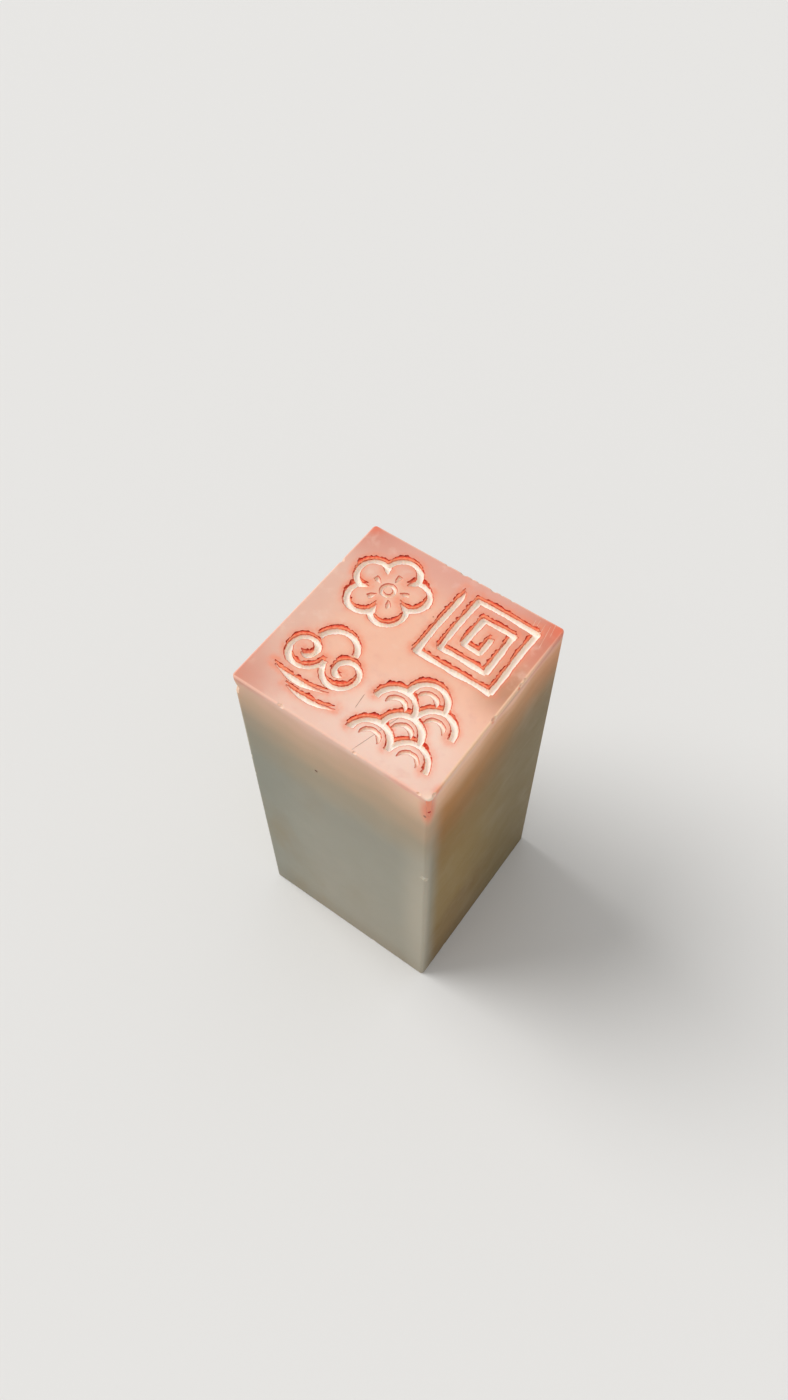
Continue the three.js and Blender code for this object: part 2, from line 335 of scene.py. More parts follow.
@dataclass(frozen=True)
class Stroke:
    """One knife stroke: a path, the blade's width, and the shares of it on which it goes in and comes out."""

    path: Path
    width: float = KNIFE.width
    entry: float = 0.0
    exit: float = 0.0

    @cached_property
    def length(self) -> float:
        """The length of its path."""
        return self.path.length()

    @property
    def flaked(self) -> bool:
        """Whether the blade broke out a shoulder: only full cuts have one."""
        return self.width == KNIFE.width

    @property
    def lead(self) -> float:
        """What sets its sway apart from that of its neighbours."""
        start = self.path.point(0)
        return start.x + math.sqrt(2) * start.y

    def share(self, t: float) -> float:
        """The share of its full size that the cut has at t, from the tips' own up to 1."""
        tapers = [way / taper for way, taper in ((t, self.entry), (1 - t, self.exit)) if taper]
        return KNIFE.tip_share + (1 - KNIFE.tip_share) * min([1.0, *tapers])

    def sway(self, t: float, sway_length: float) -> float:
        """How far from 0, at most 1 either way, something that sways over a length has come at t."""
        return math.sin(FULL_TURN * (t * self.length + self.lead) / sway_length)

    def place(self, t: float) -> Vector:
        """The middle of the cut at t, with the hand's stray in full cuts."""
        sway = self.sway(t, KNIFE.sway_length) if self.flaked else 0.0
        return self.path.point(t) + UP.cross(self.path.heading(t)) * KNIFE.stray * sway


@dataclass(frozen=True)
class Face:
    """The drawing of the face: four ornaments, each a list of strokes."""

    side: float
    margin: float = 1.7
    lane: float = 1.5
    petals: int = 5
    notch_length: float = 1.1
    notch_exit: float = 0.8
    ring_radius: float = 0.72
    ring_overlap: float = 0.1
    stamen_length: float = 1.05
    stamen_entry: float = 0.5
    fret_wall: float = 0.95
    fret_entry: float = 0.12
    seat_height: float = 0.08
    scroll_radius: float = 0.54
    scroll_eye: float = 0.6
    scroll_turns: float = 1.3
    scroll_exit: float = 0.12
    crown_height: float = 0.48
    crown_radius: float = 0.5
    crown_angles: Span = (0.96, 0.04)
    wisps: tuple[tuple[Span, Span, Span], ...] = (
        ((-0.86, -0.66), (-0.1, -0.82), (0.62, -0.58)),
        ((-0.3, -0.96), (0.4, -1.06), (1, -0.84)),
    )
    wisp_entry: float = 0.35
    wisp_exit: float = 0.45
    wave_rows: int = 4
    wave_clearance: float = 0.12
    crest_taper: float = 0.2
    finding_pitch: float = 0.15

    @property
    def size(self) -> float:
        """The side of the square that an ornament fills."""
        return (self.side - 2 * self.margin - self.lane) / 2

    @property
    def reach(self) -> float:
        """From an ornament's middle to its outermost centreline."""
        return (self.size - KNIFE.width) / 2

    def blossom(self, middle: Vector) -> list[Stroke]:
        """Plum blossom: half-round petals that meet in cusps, a ring and its stamens.

        Args:
            middle: its middle on the face.

        Returns:
            Its strokes.
        """
        half = HALF_TURN / self.petals
        petal_middle = self.reach / (1 + math.tan(half))
        petal_radius = petal_middle * math.tan(half)
        cusp = petal_middle / math.cos(half)
        stamen_start = self.ring_radius + KNIFE.fine_width
        stamen_end = stamen_start + self.stamen_length
        strokes = []
        for turn in range(2):
            end = (turn + 1) * HALF_TURN + self.ring_overlap
            strokes.append(Stroke(arc(middle, self.ring_radius, turn * HALF_TURN, end), KNIFE.fine_width))
        for petal in range(self.petals):
            aim = HALF_TURN / 2 + petal * 2 * half
            hub = polar(middle, petal_middle, aim)
            rim = arc(hub, petal_radius, aim + HALF_TURN / 2, aim - HALF_TURN / 2)
            notch = Line(polar(middle, cusp, aim + half), polar(middle, cusp - self.notch_length, aim + half))
            stamen = Line(polar(middle, stamen_start, aim), polar(middle, stamen_end, aim))
            strokes += [
                Stroke(rim),
                Stroke(notch, exit=self.notch_exit),
                Stroke(stamen, KNIFE.fine_width, entry=self.stamen_entry),
            ]
        return strokes

    def fret(self, middle: Vector) -> list[Stroke]:
        """Thunder fret: one square spiral, each side its own straight cut, and the first one pointed.

        Args:
            middle: its middle on the face.

        Returns:
            Its strokes.
        """
        pitch = KNIFE.width + self.fret_wall
        headings = [flat(0, -1), flat(1, 0), flat(0, 1), flat(-1, 0)]
        strokes: list[Stroke] = []
        corner = middle + flat(-self.reach, self.reach)
        length = 2 * self.reach
        while length >= pitch:
            side = len(strokes)
            heading = headings[side % len(headings)]
            end = corner + heading * length
            path = Line(corner - heading * KNIFE.overrun, end + heading * KNIFE.overrun)
            strokes.append(Stroke(path, entry=0.0 if side else self.fret_entry))
            corner = end
            length = 2 * self.reach - pitch * max(0, side // 2)
        return strokes

    def cloud(self, middle: Vector) -> list[Stroke]:
        """Cloud: two scrolls under a round crown, with two wisps trailing below.

        Args:
            middle: its middle on the face.

        Returns:
            Its strokes.
        """

        def place(across: float, up: float) -> Vector:
            """A place given in shares of the ornament's reach."""
            return middle + self.reach * flat(across, up)

        radius = self.scroll_radius * self.reach
        strokes = []
        for side, start in ((-1, 0.0), (1, HALF_TURN)):
            hub = place(0, self.seat_height) + flat(side * radius, 0)
            angles = (start, start + side * self.scroll_turns * FULL_TURN)
            strokes.append(Stroke(Volute(hub, (radius, self.scroll_eye), angles), exit=self.scroll_exit))
        crown_start, crown_end = (share * HALF_TURN for share in self.crown_angles)
        crown = arc(place(0, self.crown_height), self.crown_radius * self.reach, crown_start, crown_end)
        wisps = [Bend(*(place(*at) for at in wisp)) for wisp in self.wisps]
        return strokes + [Stroke(crown)] + [Stroke(w, entry=self.wisp_entry, exit=self.wisp_exit) for w in wisps]

    def waves(self, middle: Vector) -> list[Stroke]:
        """Waves: rows of half-round scales, each row set between the scales of the row below.

        Args:
            middle: its middle on the face.

        Returns:
            Its strokes.
        """
        radius = (2 * self.reach - self.wave_clearance) / self.wave_rows
        strokes = []
        for row in range(self.wave_rows):
            for column in [0] if row % 2 else [-1, 1]:
                across = column * (radius + self.wave_clearance / 2)
                hub = middle + flat(across, row * radius - self.reach)
                crest = arc(hub, radius / 2, HALF_TURN, 0)
                strokes.append(Stroke(arc(hub, radius, HALF_TURN, 0)))
                strokes.append(Stroke(crest, KNIFE.fine_width, entry=self.crest_taper, exit=self.crest_taper))
        return strokes

    def ornaments(self) -> dict[str, list[Stroke]]:
        """The four ornaments and their strokes.

        Returns:
            The strokes of each, by its name.
        """
        out = (self.lane + self.size) / 2
        return {
            "blossom": self.blossom(flat(-out, out)),
            "fret": self.fret(flat(out, out)),
            "cloud": self.cloud(flat(-out, -out)),
            "waves": self.waves(flat(out, -out)),
        }

    def along_strokes(self, shift: Vector) -> kdtree.KDTree:
        """Gathers places along every full stroke, to find how near one is.

        Args:
            shift: how far they are moved aside.

        Returns:
            The tree that finds the nearest of them.
        """
        places = []
        for stroke in (s for strokes in self.ornaments().values() for s in strokes if s.flaked):
            steps = math.ceil(stroke.length / self.finding_pitch)
            places += [stroke.place(i / steps) + shift for i in range(steps + 1)]
        tree = kdtree.KDTree(len(places))
        for i, place in enumerate(places):
            tree.insert(place, i)
        tree.balance()
        return tree


# Modelling


@contextmanager
def editing() -> Iterator[None]:
    """Edit mode on the active object.

    Returns:
        The context in which it lasts.
    """
    bpy.ops.object.mode_set(mode="EDIT")
    yield
    bpy.ops.object.mode_set(mode="OBJECT")


def deselect() -> None:
    """Selects nothing."""
    bpy.ops.object.select_all(action="DESELECT")


def take(piece: bpy.types.Object) -> None:
    """Makes a piece the only one that is selected, and the active one.

    Args:
        piece: the object.
    """
    deselect()
    piece.select_set(True)
    bpy.context.view_layer.objects.active = piece


def settle(piece: bpy.types.Object, scale: Place = (1, 1, 1)) -> None:
    """Scales the selected object, and brings its place, turn and size into its mesh."""
    piece.scale = scale
    bpy.ops.object.transform_apply(location=True, rotation=True, scale=True)


def added(name: str, operator: Callable[..., object], **settings: object) -> bpy.types.Object:
    """Adds an object, and brings its place into its mesh.

    Args:
        name: its name and its mesh's.
        operator: what adds it.
        settings: the operator's settings.

    Returns:
        The object.
    """
    deselect()
    operator(**settings)
    piece = bpy.context.object
    piece.name = piece.data.name = name
    settle(piece)
    return piece


def select(piece: bpy.types.Object, kind: str, wanted: Callable[[bpy.types.bpy_struct], bool]) -> None:
    """Selects the faces or the edges of a piece that are wanted, and no others.

    Args:
        piece: the active mesh object.
        kind: FACE or EDGE.
        wanted: says whether one of them is.
    """
    with editing():
        bpy.ops.mesh.select_mode(type=kind)
        bpy.ops.mesh.select_all(action="DESELECT")
    for element in piece.data.polygons if kind == "FACE" else piece.data.edges:
        element.select = wanted(element)


def finish_modifier(piece: bpy.types.Object, kind: str, **settings: object) -> None:
    """Adds a modifier to a piece, sets it and applies it.

    Args:
        piece: the mesh object.
        kind: the modifier's type.
        settings: its properties.
    """
    take(piece)
    modifier = piece.modifiers.new(kind.lower(), kind)
    for name, value in settings.items():
        setattr(modifier, name, value)
    bpy.ops.object.modifier_apply(modifier=modifier.name)


def drop_specks(piece: bpy.types.Object, fewest: int = 20) -> None:
    """Deletes the loose bits that cutting or remeshing left.

    Args:
        piece: the mesh object.
        fewest: a bit with fewer corners than this goes.
    """
    take(piece)
    parents = list(range(len(piece.data.vertices)))

    def bit(corner: int) -> int:
        """Finds what a corner hangs together with.

        Args:
            corner: its number.

        Returns:
            The number of the corner that stands for them all.
        """
        while parents[corner] != corner:
            parents[corner] = parents[parents[corner]]
            corner = parents[corner]
        return corner

    for edge in piece.data.edges:
        a, b = edge.vertices
        parents[bit(a)] = bit(b)
    sizes = Counter(bit(corner) for corner in range(len(parents)))
    select(piece, "FACE", lambda face: sizes[bit(face.vertices[0])] < fewest)
    with editing():
        bpy.ops.mesh.delete(type="VERT")


def roughen(piece: bpy.types.Object, size: float, strength: float, middle: float = 0.5) -> None:
    """Pushes a piece's surface in and out by a clouds texture.

    Args:
        piece: the mesh object, in millimetres.
        size: the size of the lumps.
        strength: how far they reach.
        middle: the shade that leaves the surface where it is: at 1 it only moves inwards.
    """
    lumps = bpy.data.textures.get(f"lumps_{size}") or bpy.data.textures.new(f"lumps_{size}", "CLOUDS")
    lumps.noise_scale = size
    lumps.noise_depth = 1
    finish_modifier(piece, "DISPLACE", texture=lumps, texture_coords="LOCAL", strength=strength, mid_level=middle)


def to_metres(piece: bpy.types.Object) -> None:
    """Brings a finished piece from millimetres to metres, with its object at the origin."""
    take(piece)
    settle(piece, (MM, MM, MM))


def swept(
    name: str, section: Sequence[Span], places: Sequence[Vector], scales: Sequence[Span], slight: float = 1e-6
) -> bpy.types.Object:
    """A solid drawn out along a row of places by extruding its section from each to the next.

    Args:
        name: the new piece's name.
        section: the section's corners, each across and up from its place.
        places: where the section's origin goes.
        scales: the section's size across and upwards at each place.
        slight: the turn or change of size that is passed over.

    Returns:
        The new piece.
    """
    piece = added(name, bpy.ops.mesh.primitive_circle_add, vertices=len(section), fill_type="NGON", radius=1)
    ways = [(b - a).normalized() for a, b in zip(places, places[1:])]
    headings = [ways[0], *((a + b).normalized() for a, b in zip(ways, ways[1:])), ways[-1]]
    across = UP.cross(headings[0])
    for corner, (side, up) in zip(piece.data.vertices, section):
        corner.co = places[0] + across * side * scales[0][0] + UP * up * scales[0][1]
    with editing():
        bpy.ops.mesh.select_all(action="SELECT")
        for i in range(1, len(places)):
            bpy.ops.mesh.extrude_region_move(TRANSFORM_OT_translate={"value": places[i] - places[i - 1]})
            turn = headings[i - 1].to_2d().angle_signed(headings[i].to_2d(), 0.0)
            if abs(turn) > slight:
                bpy.ops.transform.rotate(value=turn, orient_axis="Z", center_override=places[i])
            sideways, upwards = (now / before for now, before in zip(scales[i], scales[i - 1]))
            if abs(sideways - 1) + abs(upwards - 1) > slight:
                bpy.ops.transform.resize(value=(sideways, sideways, upwards), center_override=places[i])
        bpy.ops.mesh.select_all(action="SELECT")
        bpy.ops.mesh.normals_make_consistent(inside=False)
    return piece


# Materials


class Wire:
    """A shader socket that can be calculated with."""

    def __init__(self, shader: "Shader", socket: bpy.types.NodeSocket) -> None:
        """Keeps the socket and the shader that it belongs to."""
        self.shader = shader
        self.socket = socket

    def _math(self, operation: str, *values: "Wire | float") -> "Wire":
        """Adds a Math node on this shader."""
        return self.shader.node("ShaderNodeMath", {"operation": operation}, dict(enumerate(values)))

    def __add__(self, other: "Wire | float") -> "Wire":
        """The sum."""
        return self._math("ADD", self, other)

    __radd__ = __add__

    def __sub__(self, other: "Wire | float") -> "Wire":
        """The difference."""
        return self._math("SUBTRACT", self, other)

    def __rsub__(self, other: float) -> "Wire":
        """The difference, from a number."""
        return self._math("SUBTRACT", other, self)

    def __mul__(self, other: "Wire | float") -> "Wire":
        """The product."""
        return self._math("MULTIPLY", self, other)

    __rmul__ = __mul__

    def __truediv__(self, other: "Wire | float") -> "Wire":
        """The quotient."""
        return self._math("DIVIDE", self, other)

    def __abs__(self) -> "Wire":
        """The size without its sign."""
        return self._math("ABSOLUTE", self)

    def larger(self, other: "Wire | float") -> "Wire":
        """The larger of two values."""
        return self._math("MAXIMUM", self, other)

    def rise(self, low: float, high: float) -> "Wire":
        """A smooth step: 0 at low and 1 at high, which may be the smaller one.

        Args:
            low: the value that gives 0.
            high: the value that gives 1.

        Returns:
            The step.
        """
        settings = {"interpolation_type": "SMOOTHSTEP", "clamp": True}
        turned = low > high
        a, b = (high, low) if turned else (low, high)
        values = {"Value": self, "From Min": a, "From Max": b, "To Min": float(turned), "To Max": float(not turned)}
        return self.shader.node("ShaderNodeMapRange", settings, values)


def srgb(*shown: float) -> Colour:
    """The linear colour that a shader takes for one that shows on a screen as red, green and blue of 0 to 255."""
    shares = (value / 255 for value in shown)
    return tuple(share / 12.92 if share <= 0.04045 else ((share + 0.055) / 1.055) ** 2.4 for share in shares)


@dataclass(frozen=True)
class Clouds:
    """Noise from 0 to 1, with patches of a size in millimetres, read on a place scaled and then turned about Z."""

    size: float
    detail: float = 3.0
    roughness: float = 0.6
    seed: float = 0.0
    scale: Place | None = None
    turn: float = 0.0


@dataclass(frozen=True)
class Relief:
    """A bumpy surface: the noise of its height, its depth in millimetres and its strength."""

    clouds: Clouds
    depth: float
    strength: float = 0.7


@dataclass(frozen=True)
class Body:
    """How light goes into a material, in millimetres for each colour, and how its surface bends and mirrors it."""

    weight: float
    radius: Colour
    reach: float
    ior: float
    mirror: float = 0.5

    def sockets(self) -> dict[str, object]:
        """The values of the shader's sockets."""
        light = {"Subsurface Weight": self.weight, "Subsurface Radius": self.radius, "IOR": self.ior}
        return {**light, "Subsurface Scale": self.reach * MM, "Specular IOR Level": self.mirror}


class Shader:
    """The nodes of a material or of the world, and those that are added to it."""

    def __init__(self, owner: bpy.types.Material | bpy.types.World, surface: str = "Principled BSDF") -> None:
        """Starts with the shader that the owner has when it is new.

        Args:
            owner: the material or world.
            surface: the name of its shader.
        """
        owner.use_nodes = True
        self.owner = owner
        self.nodes = owner.node_tree.nodes
        self.links = owner.node_tree.links
        self.surface = self.nodes[surface]

    def node(
        self, kind: str, settings: dict[str, object], values: "dict[str | int, object]", output: str | int = 0
    ) -> Wire:
        """Adds a node.

        Args:
            kind: the node's type.
            settings: its properties, or the stops of a ramp, which are set first.
            values: its sockets by name or number, each with a value or a wire.
            output: the output that is returned.

        Returns:
            The output as a wire.
        """
        node = self.nodes.new(kind)
        for name, value in settings.items():
            if name == "stops":
                self._set_stops(node.color_ramp, value)
            else:
                setattr(node, name, value)
        for key, value in values.items():
            self.join(value, node.inputs[key])
        return Wire(self, node.outputs[output])

    def join(self, value: object, socket: bpy.types.NodeSocket) -> None:
        """Links a wire to a socket, or sets the socket to a value.

        Args:
            value: the wire, colour or number.
            socket: the input that it goes to.
        """
        if isinstance(value, Wire):
            self.links.new(value.socket, socket)
        elif isinstance(value, tuple) and socket.type == "RGBA":
            socket.default_value = (*value, 1.0)
        else:
            socket.default_value = value

    def finished(self, values: dict[str, object]) -> bpy.types.Material | bpy.types.World:
        """Sets or links the shader's sockets by their names, and gives back the owner.

        Args:
            values: the values or wires of the sockets.

        Returns:
            The material or world.
        """
        for name, value in values.items():
            self.join(value, self.surface.inputs[name])
        return self.owner

    @cached_property
    def place(self) -> Wire:
        """The place on the piece, in millimetres."""
        place = self.node("ShaderNodeTexCoord", {}, {}, "Object")
        return self.node("ShaderNodeVectorMath", {"operation": "SCALE"}, {0: place, "Scale": 1 / MM})

    @cached_property
    def axes(self) -> tuple[Wire, ...]:
        """The X, Y and Z of the place."""
        node = self.node("ShaderNodeSeparateXYZ", {}, {0: self.place}).socket.node
        return tuple(Wire(self, output) for output in node.outputs)

    def attribute(self, name: str) -> Wire:
        """The value that the mesh keeps under a name."""
        return self.node("ShaderNodeAttribute", {"attribute_name": name}, {}, "Fac")

    def mapped(self, scale: Place, turn: float = 0.0, move: Place = (0, 0, 0)) -> Wire:
        """The place scaled, then turned about Z, then moved."""
        values = {"Vector": self.place, "Location": move, "Rotation": (0.0, 0.0, turn), "Scale": scale}
        return self.node("ShaderNodeMapping", {"vector_type": "POINT"}, values)

    def noise(self, clouds: Clouds) -> Wire:
        """Noise over the place.

        Args:
            clouds: what it is like.

        Returns:
            The noise, from 0 to 1.
        """
        values = {
            "Vector": self.mapped(clouds.scale, clouds.turn) if clouds.scale else self.place,
            "W": clouds.seed,
            "Scale": 1 / clouds.size,
            "Detail": clouds.detail,
            "Roughness": clouds.roughness,
        }
        return self.node("ShaderNodeTexNoise", {"noise_dimensions": "4D"}, values)

    def mix(self, share: "Wire | float", low: "Wire | Colour", high: "Wire | Colour") -> Wire:
        """A mix of two colours, with a share of the second one."""
        settings = {"data_type": "RGBA", "clamp_factor": True}
        return self.node("ShaderNodeMix", settings, {0: share, 6: low, 7: high}, 2)

    def banded(self, colour: "Wire | Colour", *bands: tuple[Wire, Tint]) -> Wire:
        """Lays tints over a colour, each where its measure rises through its span, up to its share.

        Args:
            colour: what they are laid over.
            bands: each measure and its tint.

        Returns:
            The colour.
        """
        for measure, (span, share, tint) in bands:
            colour = self.mix(measure.rise(*span) * share, colour, tint)
        return colour

    def ramp(self, value: Wire, stops: Sequence[tuple[float, Colour]]) -> Wire:
        """A colour that changes smoothly with a value, through stops from 0 to 1."""
        return self.node("ShaderNodeValToRGB", {"stops": stops}, {0: value})

    def _set_stops(self, bands: bpy.types.ColorRamp, stops: Sequence[tuple[float, Colour]]) -> None:
        """Gives a ramp its stops.

        Args:
            bands: the node's ramp.
            stops: places from 0 to 1 and their colours, in order.
        """
        bands.interpolation = "EASE"
        while len(bands.elements) < len(stops):
            bands.elements.new(0.5)
        for element, (place, colour) in zip(bands.elements, stops):
            element.position = place
            element.color = (*colour, 1.0)

    def bump(self, relief: Relief, height: Wire | None = None) -> Wire:
        """The bumpy normal of a relief, or of another height with its depth and strength."""
        values = {"Height": height or self.noise(relief.clouds), "Distance": relief.depth * MM}
        return self.node("ShaderNodeBump", {}, {**values, "Strength": relief.strength})


@dataclass(frozen=True)
class Mask:
    """Where something lies on the stone: its share, where all the limits hold that it has.

    A span rises from its first value to its second: x, y and z in millimetres from the middle of the foot, out
    from the upright middle line, mottle along the stone's own noise, and dense along its clouds. A patch has a
    middle and a reach, and uneven gives what is the same all over and what follows the mottle.
    """

    share: float = 1.0
    x: Span | None = None
    y: Span | None = None
    z: Span | None = None
    out: Span | None = None
    mottle: Span | None = None
    patch: tuple[Place, Place] | None = None
    uneven: Span | None = None
    clouds: Clouds | None = None
    dense: Span = (0.0, 1.0)

    def on(self, shader: "StoneShader") -> "Wire | float":
        """The mask on a material.

        Args:
            shader: the material's nodes.

        Returns:
            The mask, from 0 to its share.
        """
        spans = (self.x, self.y, self.z, self.out, self.mottle)
        masks = [measure.rise(*span) for measure, span in zip(shader.measures, spans) if span]
        if self.patch:
            masks.append(shader.patch(*self.patch))
        if self.uneven:
            same, mottled = self.uneven
            masks.append(same + shader.mottle * mottled)
        if self.clouds:
            masks.append(shader.noise(self.clouds).rise(*self.dense))
        return math.prod(masks, start=self.share)


Layers = tuple[tuple[Colour, Mask], ...]

RIGHT_SIDE = (5.0, 11.95)
WORN = (0.7, 0.6)
RAGGED = (0.4, 0.8)


@dataclass(frozen=True)
class StoneColours:
    """The colours of the stone: celadon with an olive-brown side, and rosy under its carved face, with painted shade
    and painted highlights on some sides and arrises.
    """

    height: float
    mottle: Clouds = Clouds(1.9, 4.0, 0.6, 2.0)
    drift: Clouds = Clouds(8.0, 2.0, 0.5, 1.0)
    drift_reach: float = 4.0
    # Both ramps grow a little darker at their first stop: painted contact shadow at the foot.
    celadon: tuple[tuple[float, Colour], ...] = (
        (0.0, srgb(154, 144, 124)),
        (0.12, srgb(160, 154, 137)),
        (0.5, srgb(158, 154, 138)),
        (0.66, srgb(155, 151, 135)),
        (0.78, srgb(166, 152, 128)),
        (0.86, srgb(188, 160, 130)),
        (0.92, srgb(206, 170, 139)),
        (0.97, srgb(222, 180, 153)),
        (1.0, srgb(234, 190, 168)),
    )
    olive: tuple[tuple[float, Colour], ...] = (
        (0.0, srgb(118, 92, 46)),
        (0.14, srgb(134, 106, 57)),
        (0.34, srgb(146, 119, 67)),
        (0.52, srgb(148, 121, 67)),
        (0.68, srgb(144, 111, 52)),
        (0.79, srgb(154, 106, 40)),
        (0.87, srgb(180, 122, 56)),
        (0.92, srgb(200, 138, 80)),
        (0.96, srgb(226, 164, 114)),
        (0.985, srgb(250, 196, 164)),
        (1.0, srgb(255, 210, 184)),
    )
    umber: Colour = srgb(116, 86, 40)
    # painted shade for the far part of the right side
    painted_shade: Colour = srgb(116, 99, 55)
    rust: Colour = srgb(204, 120, 64)
    # painted shade, greyish green, round the front left upright arris
    painted_cool_shade: Colour = srgb(124, 129, 116)
    haze: Colour = srgb(148, 121, 67)
    # milky patches of the stone, and painted rim light beside the near upright arris
    milk_and_painted_rim_light: Colour = srgb(186, 177, 157)
    chalk: Colour = srgb(206, 200, 180)
    face: Colour = srgb(246, 192, 165)
    pale: Colour = srgb(248, 216, 199)
    dusty: Colour = srgb(226, 184, 166)
    misty: Colour = srgb(240, 202, 185)
    rose: Colour = srgb(226, 164, 148)
    salmon: Colour = srgb(214, 132, 108)
    smoke: Colour = srgb(190, 134, 102)
    # painted highlight for the arrises round the face
    arris: Colour = srgb(250, 200, 178)
    glow: Colour = srgb(240, 112, 78)
    smear: Colour = srgb(243, 139, 108)
    # painted highlight for the tip of the near corner
    painted_tip_highlight: Colour = srgb(255, 226, 204)
    # painted light: a peach glow on the right side, and a highlight along its top arris
    painted_peach_light: Colour = srgb(255, 208, 172)
    speck: Colour = srgb(104, 62, 48)
    olive_side: Mask = Mask(x=RIGHT_SIDE, y=(-12.25, -9.05), uneven=(0.8, 0.4))
    at_face: Mask = Mask(z=(48.7, 49.9))
    on_sides: Layers = (
        # painted shade: darkens the right side towards its far end, below its top
        (painted_shade, Mask(0.85, x=RIGHT_SIDE, y=(-7.0, 8.0), z=(49.0, 36.0))),
        (rust, Mask(0.5, x=RIGHT_SIDE, y=(0.0, 13.0), z=(41.0, 47.5))),
        # painted light: a peach glow on the front part of the right side, near its top
        (painted_peach_light, Mask(0.55, x=RIGHT_SIDE, y=(2.0, -8.0), z=(43.0, 49.0))),
        # painted shade: darkens the sides round the front left upright arris, below the face
        (painted_cool_shade, Mask(0.45, x=(-2.0, -12.2), y=(-5.0, -12.0), z=(48.0, 42.0))),
        (umber, Mask(0.55, mottle=(0.3, 0.6), patch=((13.0, -3.5, 11.0), (7.0, 8.0, 4.5)))),
        (
            haze,
            Mask(
                0.3,
                x=(6.0, -4.0),
                z=(42.0, 30.0),
                clouds=Clouds(9.0, roughness=0.55, seed=3.0, scale=(1.0, 1.0, 0.55), turn=0.4),
                dense=(0.48, 0.72),
            ),
        ),
        # milky patches in the stone
        (milk_and_painted_rim_light, Mask(0.12, clouds=Clouds(4.5, roughness=0.55, seed=6.0), dense=(0.45, 0.8))),
        (chalk, Mask(patch=((-12.2, -12.2, 38.5), (0.55, 0.55, 12.0)), uneven=(0.3, 1.0))),
        # painted rim light: lightens the front side beside the near upright arris, on its lower part
        (milk_and_painted_rim_light, Mask(0.8, z=(42.0, 34.0), patch=((12.2, -12.2, 22.0), (4.5, 1.2, 34.0)))),
    )
    on_face: Layers = (
        (misty, Mask(0.8, y=(-5.0, -11.0))),
        (dusty, Mask(0.8, x=(-5.0, -12.0))),
        (rose, Mask(0.85, y=(5.0, 11.5))),
        (pale, Mask(0.95, patch=((5.5, -7.5, 50.0), (11.0, 8.0, 9.0)), uneven=WORN)),
        (salmon, Mask(0.6, patch=((-13.0, 13.0, 50.0), (7.5, 7.0, 9.0)), uneven=WORN)),
        (salmon, Mask(0.7, patch=((-13.0, -12.5, 50.0), (8.0, 7.5, 9.0)), uneven=WORN)),
        (salmon, Mask(0.9, patch=((13.5, 9.5, 50.0), (9.0, 10.0, 9.0)), uneven=WORN)),
        (smoke, Mask(0.8, patch=((11.4, 2.4, 50.0), (4.4, 4.8, 9.0)), uneven=WORN)),
        (rose, Mask(0.3, mottle=(0.5, 0.75))),
        (pale, Mask(0.3, mottle=(0.48, 0.25))),
    )
    on_edges: Layers = (
        # painted highlight: a lighter line along the arrises round the face
        (arris, Mask(0.6, z=(49.65, 49.88), out=(11.97, 12.1))),
        # painted highlight along the right side's top arris, which faces away from the sun
        (painted_peach_light, Mask(0.8, x=(11.9, 12.07), y=(11.0, 3.0), z=(49.4, 49.8))),
        (glow, Mask(0.8, patch=((12.4, 12.4, 50.0), (3.2, 3.6, 1.2)), uneven=RAGGED)),
        (glow, Mask(0.8, patch=((-12.3, 12.3, 50.0), (2.2, 2.2, 1.0)), uneven=RAGGED)),
        (glow, Mask(0.25, patch=((-12.3, -8.0, 50.0), (0.7, 9.0, 0.8)), uneven=RAGGED)),
        (glow, Mask(0.45, patch=((9.4, -12.4, 49.6), (3.6, 0.7, 0.8)), uneven=RAGGED)),
        (glow, Mask(0.6, patch=((12.3, -10.9, 49.9), (0.9, 1.5, 0.7)), uneven=RAGGED)),
        (glow, Mask(0.9, patch=((12.3, -1.3, 49.8), (0.5, 0.45, 0.4)), uneven=RAGGED)),
        (glow, Mask(0.9, patch=((12.3, 3.4, 49.8), (0.4, 0.35, 0.35)), uneven=RAGGED)),
        (smear, Mask(patch=((12.2, -12.2, 47.6), (1.5, 1.5, 3.8)))),
        # painted highlight on the tip of the near corner
        (painted_tip_highlight, Mask(patch=((12.1, -12.1, 49.85), (1.3, 1.3, 0.4)))),
        (speck, Mask(0.85, patch=((0.2, 5.6, 50.0), (0.13, 0.13, 0.4)))),
        (speck, Mask(0.85, patch=((-0.7, 6.3, 50.0), (0.1, 0.12, 0.4)))),
        (speck, Mask(0.85, patch=((11.75, -12.3, 46.25), (0.28, 0.3, 0.34)))),
        (speck, Mask(0.85, patch=((-2.1, -12.2, 40.6), (0.3, 0.5, 0.3)))),
    )


